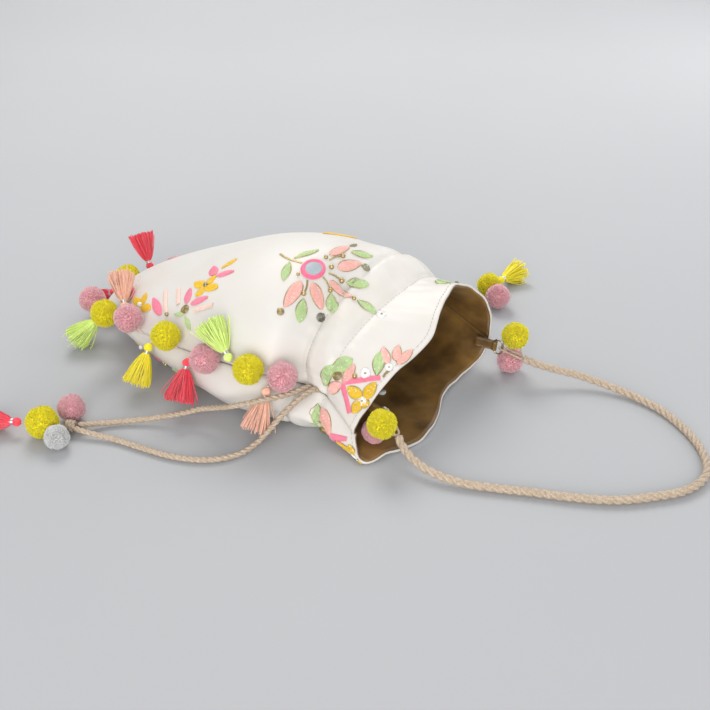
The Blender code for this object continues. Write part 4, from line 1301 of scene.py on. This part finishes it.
@dataclass
class Embroidery:
    """Thread flowers, mirror work, beads and sequins worked on one panel.

    Attributes:
        cloth: the panel.
        label: its side, used in the pieces' names.
        mirrored: whether the columns are counted the other way round, for the back panel.
        grid: the rows and columns of points on the panel's outside.
    """

    shop: Workshop
    cloth: bpy.types.Object
    label: str
    mirrored: bool
    grid: tuple[int, int]

    OUTLINED_FROM = 6

    def __post_init__(self) -> None:
        """Makes the panel ready for laying thread on."""
        mesh = self.cloth.data
        points = np.array([v.co for v in mesh.vertices]) / MM + ORIGIN
        self.tree = BVHTree.FromPolygons(points.tolist(), [tuple(p.vertices) for p in mesh.polygons[:self._outer()]])
        self.lines: dict[str, list] = {}
        self.outlines: list = []
        self.sparkles: list = []

    def _outer(self) -> int:
        """Returns how many of the panel's faces are on its outside."""
        rows, columns = self.grid
        return (rows - 1) * (columns - 1)

    def _at(self, place: UV) -> tuple[Points, Points]:
        """Returns a place's point and outward direction."""
        column = 32 - place[1] if self.mirrored else place[1]
        station = np.array(place[0])
        return self.shop.form.cloth(station, np.array(column)), self.shop.form.normal(station, np.array(column))

    def _lay(self, points: Points, rise: Points) -> Points:
        """Drops points on the cloth and lifts them by a rise."""
        laid = []
        for point, lift in zip(points, rise):
            where, out, _, _ = self.tree.find_nearest(Vector(point))
            laid.append(np.array(where) + np.array(out) * lift)
        laid = np.array(laid)
        laid[:, 2] = np.maximum(laid[:, 2], ABOVE_TABLE)
        return laid

    def _width(self, shape: Shape, s: float) -> float:
        """Returns how wide a shape is along itself, as a share of its width."""
        if shape is Shape.BAR:
            return 1.0
        if shape is Shape.PETAL:
            return max(0.10, math.sin(math.pi * min(1.0, s ** 0.8)) ** 0.65)
        return max(0.08, math.sin(math.pi * s) ** 0.9)

    def _stroke(self, shape: Shape, colour: str, a: UV, b: UV, width: float) -> None:
        """Works one leaf, petal, bar or stem in satin stitch.

        Args:
            shape: what is worked.
            colour: of its floss.
            a: where it starts.
            b: where it ends.
            width: in millimetres.
        """
        start, out_a = self._at(a)
        end, out_b = self._at(b)
        out = unit(out_a + out_b)
        along = end - start
        length = float(np.linalg.norm(along))
        side = unit(np.cross(out, along))
        forward = unit(along)
        if shape is Shape.STEM:
            t = np.linspace(0, 1, 9)[:, None]
            bend = np.sin(np.pi * t) * side * length * 0.08
            rail = side * width * 0.5
            for off in (-1, 0, 1):
                self.lines.setdefault(colour, []).append(
                    self._lay(start + along * t + bend + rail * off, np.full(9, 0.25)))
            return
        count = max(6, int(length / 0.52))
        across = np.linspace(-1, 1, 7)
        arch = 0.16 + 0.55 * np.sqrt(np.maximum(0, 1 - across ** 2))
        slant = {Shape.LEAF: 0.55, Shape.PETAL: 0.25, Shape.BAR: 0.0}[shape]
        for k in range(count):
            s = (k + 0.5) / count
            half = width / 2 * self._width(shape, s)
            lean = slant * half * (np.abs(across) if shape is Shape.LEAF else across)
            centre = start + along * s
            points = centre + np.outer(across * half, side) + np.outer(lean, forward)
            self.lines.setdefault(colour, []).append(self._lay(points, arch))
        if shape is not Shape.BAR and a[0] > self.OUTLINED_FROM:
            self._outline(start, along, side, shape, width)
            self._sparkle(start, along, side, shape, width)

    def _outline(self, start: Points, along: Points, side: Points, shape: Shape, width: float) -> None:
        """Couches a gold thread round a shape."""
        s = np.linspace(0, 1, 13)
        half = np.array([self._width(shape, float(v)) * width / 2 + 0.2 for v in s])
        half[0] = half[-1] = 0.05
        there = start + np.outer(s, along) + np.outer(half, side)
        back = (start + np.outer(s, along) - np.outer(half, side))[::-1]
        self.outlines.append(self._lay(np.concatenate((there, back)), np.full(26, 0.32)))

    def _sparkle(self, start: Points, along: Points, side: Points, shape: Shape, width: float) -> None:
        """Scatters fine beads over a shape."""
        luck = np.random.default_rng(int(abs(start[0] * 31 + start[1] * 17)) + 5)
        for _ in range(int(1.1 * width)):
            s = luck.uniform(0.12, 0.9)
            off = luck.uniform(-0.75, 0.75) * width / 2 * self._width(shape, s)
            point = self._lay(np.array([start + along * s + side * off]), np.array([0.75]))[0]
            self.sparkles.append((point, np.array((0.0, 0.0, 1.0)), 0.32))

    def _mirror(self, place: UV, long: float, short: float) -> None:
        """Sets the oval mirror in its ring of pink stitches.

        Args:
            place: its middle.
            long: the ring's half length, in millimetres.
            short: its half width.
        """
        centre, out = self._at(place)
        along = unit(np.cross((0.0, 1.0, 0.0), out))
        side = np.cross(out, along)
        if self.mirrored:
            side = -side
        lines = []
        for k in range(110):
            angle = 2 * math.pi * k / 110
            ray = long * math.cos(angle) * side + short * math.sin(angle) * along
            share = np.linspace(0.62, 1.0, 6)[:, None]
            rise = 0.25 + 1.15 * np.sin(np.pi * np.linspace(0.04, 0.96, 6)) ** 0.7
            lines.append(self._lay(centre + ray * share, rise))
        self.lines.setdefault("hot", []).extend(lines)
        points, faces = [centre + out * 0.75], []
        count = 40
        for ring, share in enumerate((0.35, 0.66)):
            for k in range(count):
                angle = 2 * math.pi * k / count
                ray = long * math.cos(angle) * side + short * math.sin(angle) * along
                points.append(centre + ray * share + out * (0.75 - 0.2 * ring))
        for k in range(count):
            after = (k + 1) % count
            faces.append((0, 1 + k, 1 + after))
            faces.append((1 + k, 1 + count + k, 1 + count + after, 1 + after))
        if self.mirrored:
            faces = [face[::-1] for face in faces]
        points = np.array(points)
        points[:, 2] = np.maximum(points[:, 2], 0.1)
        item = make_mesh("mirror_" + self.label, points, faces)
        settle(item, Finishes.GLASS, Body.BAG, "ivory_satin")

    def _studs(self) -> None:
        """Sews on the beads, sequins and wound swirls."""
        places: dict[tuple[Stud, str], list] = {}
        for name, colour, place, radius in STUDS:
            kind = Stud(name)
            point, out = self._at(place)
            if kind is Stud.SWIRL:
                self._swirl(point, out, radius, colour)
                continue
            lift = radius * 0.45 if kind is Stud.BEAD else 0.35
            places.setdefault((kind, colour), []).append((point + out * lift, out, radius))
            if kind is Stud.SEQUIN:
                places.setdefault((Stud.BEAD, "gold"), []).append((point + out * 0.7, out, radius * 0.26))
        if self.sparkles:
            places.setdefault((Stud.BEAD, "sparkle"), []).extend(self.sparkles)
        for (kind, colour), found in places.items():
            group = self.shop.beads if kind is Stud.BEAD else self.shop.sequins
            finish = Finishes.FLOSS.get(colour, Finishes.PEARL)
            item = self.shop.studs(group, f"{kind.value}_{colour}_{self.label}", found, finish)
            settle(item, None, Body.BAG, "ivory_satin")

    def _swirl(self, point: Points, out: Points, radius: float, colour: str) -> None:
        """Winds a flat spiral of metal thread."""
        side = unit(np.cross(out, (1.0, 0.0, 0.0)))
        other = np.cross(out, side)
        t = np.linspace(0, 1, 60)
        angle = 2 * np.pi * (radius / 0.75) * t
        reach = radius * (0.12 + 0.88 * t)
        line = point + np.outer(reach * np.cos(angle), side) + np.outer(reach * np.sin(angle), other)
        self.lines.setdefault(colour, []).append(self._lay(line, 0.9 - 0.5 * t))

    def build(self) -> None:
        """Works the whole panel."""
        for shape, colour, a, b, width in STROKES:
            self._stroke(Shape(shape), colour, a, b, width)
        self._mirror(MIRROR, 8.7, 7.2)
        self._studs()
        for colour, lines in self.lines.items():
            radius = 0.30 if colour in ("gold", "pewter") else 0.33
            item = self.shop.thread(f"floss_{colour}_{self.label}", lines, radius, Finishes.FLOSS[colour])
            settle(item, None, Body.BAG, "ivory_satin")
        item = self.shop.thread(f"outline_{self.label}", self.outlines, 0.24, Finishes.GOLD)
        settle(item, None, Body.BAG, "ivory_satin")
        log.info("embroidery on the %s: %d threads", self.label, sum(map(len, self.lines.values())))


# ---------------------------------------------------------------- the studio

@dataclass
class Studio:
    """A pale table with soft light from above and behind."""

    distance: float = 620.0
    azimuth: float = 32.0
    elevation: float = 32.0
    target: tuple[float, float, float] = (20.0, 0.0, 20.0)
    lens: float = 48.68

    def camera(self) -> None:
        """Places the camera."""
        a, e = math.radians(self.azimuth), math.radians(self.elevation)
        back = np.array((math.sin(a) * math.cos(e), -math.cos(a) * math.cos(e), math.sin(e)))
        place = Vector(to_frame(np.array(self.target) + back * self.distance))
        data = bpy.data.cameras.new("camera")
        data.lens, data.sensor_width = self.lens, 36.0
        data.clip_start, data.clip_end = 0.01, 20.0
        item = bpy.data.objects.new("camera", data)
        bpy.context.scene.collection.objects.link(item)
        item.location = place
        item.rotation_euler = Vector(-back).to_track_quat("-Z", "Y").to_euler()
        bpy.context.scene.camera = item

    def table(self) -> None:
        """Lays the seamless table top and backdrop."""
        width, rise = 3.0, 1.6
        profile = [(-2.6, 0.0), (0.9, 0.0)]
        profile += [(0.9 + 0.7 * math.sin(t), 0.7 - 0.7 * math.cos(t)) for t in np.linspace(0, math.pi / 2, 14)[1:]]
        profile += [(1.6, rise)]
        a = math.radians(self.azimuth)
        away, side = np.array((-math.sin(a), math.cos(a), 0)), np.array((math.cos(a), math.sin(a), 0))
        points = [away * d * 1000 + side * w * 1000 + np.array((0, 0, h * 1000 - 0.2))
                  for d, h in profile for w in (-width, width)]
        item = make_mesh("table", np.array(points) + ORIGIN, grid_faces(len(profile), 2, 0, True))
        finish = Finish("table_paper", (0.445, 0.452, 0.46), (0.435, 0.442, 0.45), 0.85, 0.0, 0.0, 0.01, 1.0, 300.0)
        item.data.materials.append(finish.material())

    def light(self, name: str, place: tuple, size: float, power: float, colour: tuple = (1, 1, 1)) -> None:
        """Hangs a soft light that points at the bag."""
        data = bpy.data.lights.new(name, "AREA")
        data.shape, data.size, data.energy, data.color = "DISK", size, power, colour
        item = bpy.data.objects.new(name, data)
        bpy.context.scene.collection.objects.link(item)
        item.location = place
        item.rotation_euler = (Vector((0.0, 0.0, 0.03)) - Vector(place)).to_track_quat("-Z", "Y").to_euler()

    def build(self) -> None:
        """Sets up the whole studio but its camera."""
        self.table()
        bpy.context.scene.view_settings.view_transform = "Standard"
        world = bpy.data.worlds.new("studio")
        world.use_nodes = True
        world.node_tree.nodes["Background"].inputs[0].default_value = (0.93, 0.95, 1.0, 1.0)
        world.node_tree.nodes["Background"].inputs[1].default_value = 0.66
        bpy.context.scene.world = world
        self.light("key", (-0.75, 0.75, 1.25), 0.9, 15.0, (1.0, 0.985, 0.96))
        self.light("fill", (0.85, -1.5, 0.6), 1.6, 27.0, (1.0, 0.99, 0.975))
        self.light("rim", (0.3, 1.1, 0.55), 0.8, 4.0)


def main() -> None:
    """Builds the camera, the cords, the bag and its studio."""
    logging.basicConfig(level=logging.INFO, format="%(name)s: %(message)s")
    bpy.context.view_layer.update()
    studio = Studio()
    studio.camera()
    shop = Workshop(BagForm(), threads_group(), studs_group("Beads", True), studs_group("Sequins", False),
                    pompom_group())
    Handle(shop).build()
    Drawstring(shop, "near", NEAR_UPPER, NEAR_LOWER, (-96.0, -139.0, 4.8), (-119.5, -155.5, 8.6),
               (-0.93, -0.36, -0.06), "coral", 0, -0.14).build()
    Drawstring(shop, "far", FAR_UPPER, FAR_LOWER, (37.0, 139.0, 4.8), (47.0, 164.3, 8.6),
               (0.20, 0.97, -0.06), "yellow", 16, 0.14).build()
    shell = Shell(shop)
    front, back = shell.build()
    SeamTrim(shop).build()
    Embroidery(shop, front, "front", False, shell.front_grid).build()
    Embroidery(shop, back, "back", True, shell.back_grid).build()
    studio.build()


if __name__ == "__main__":
    main()
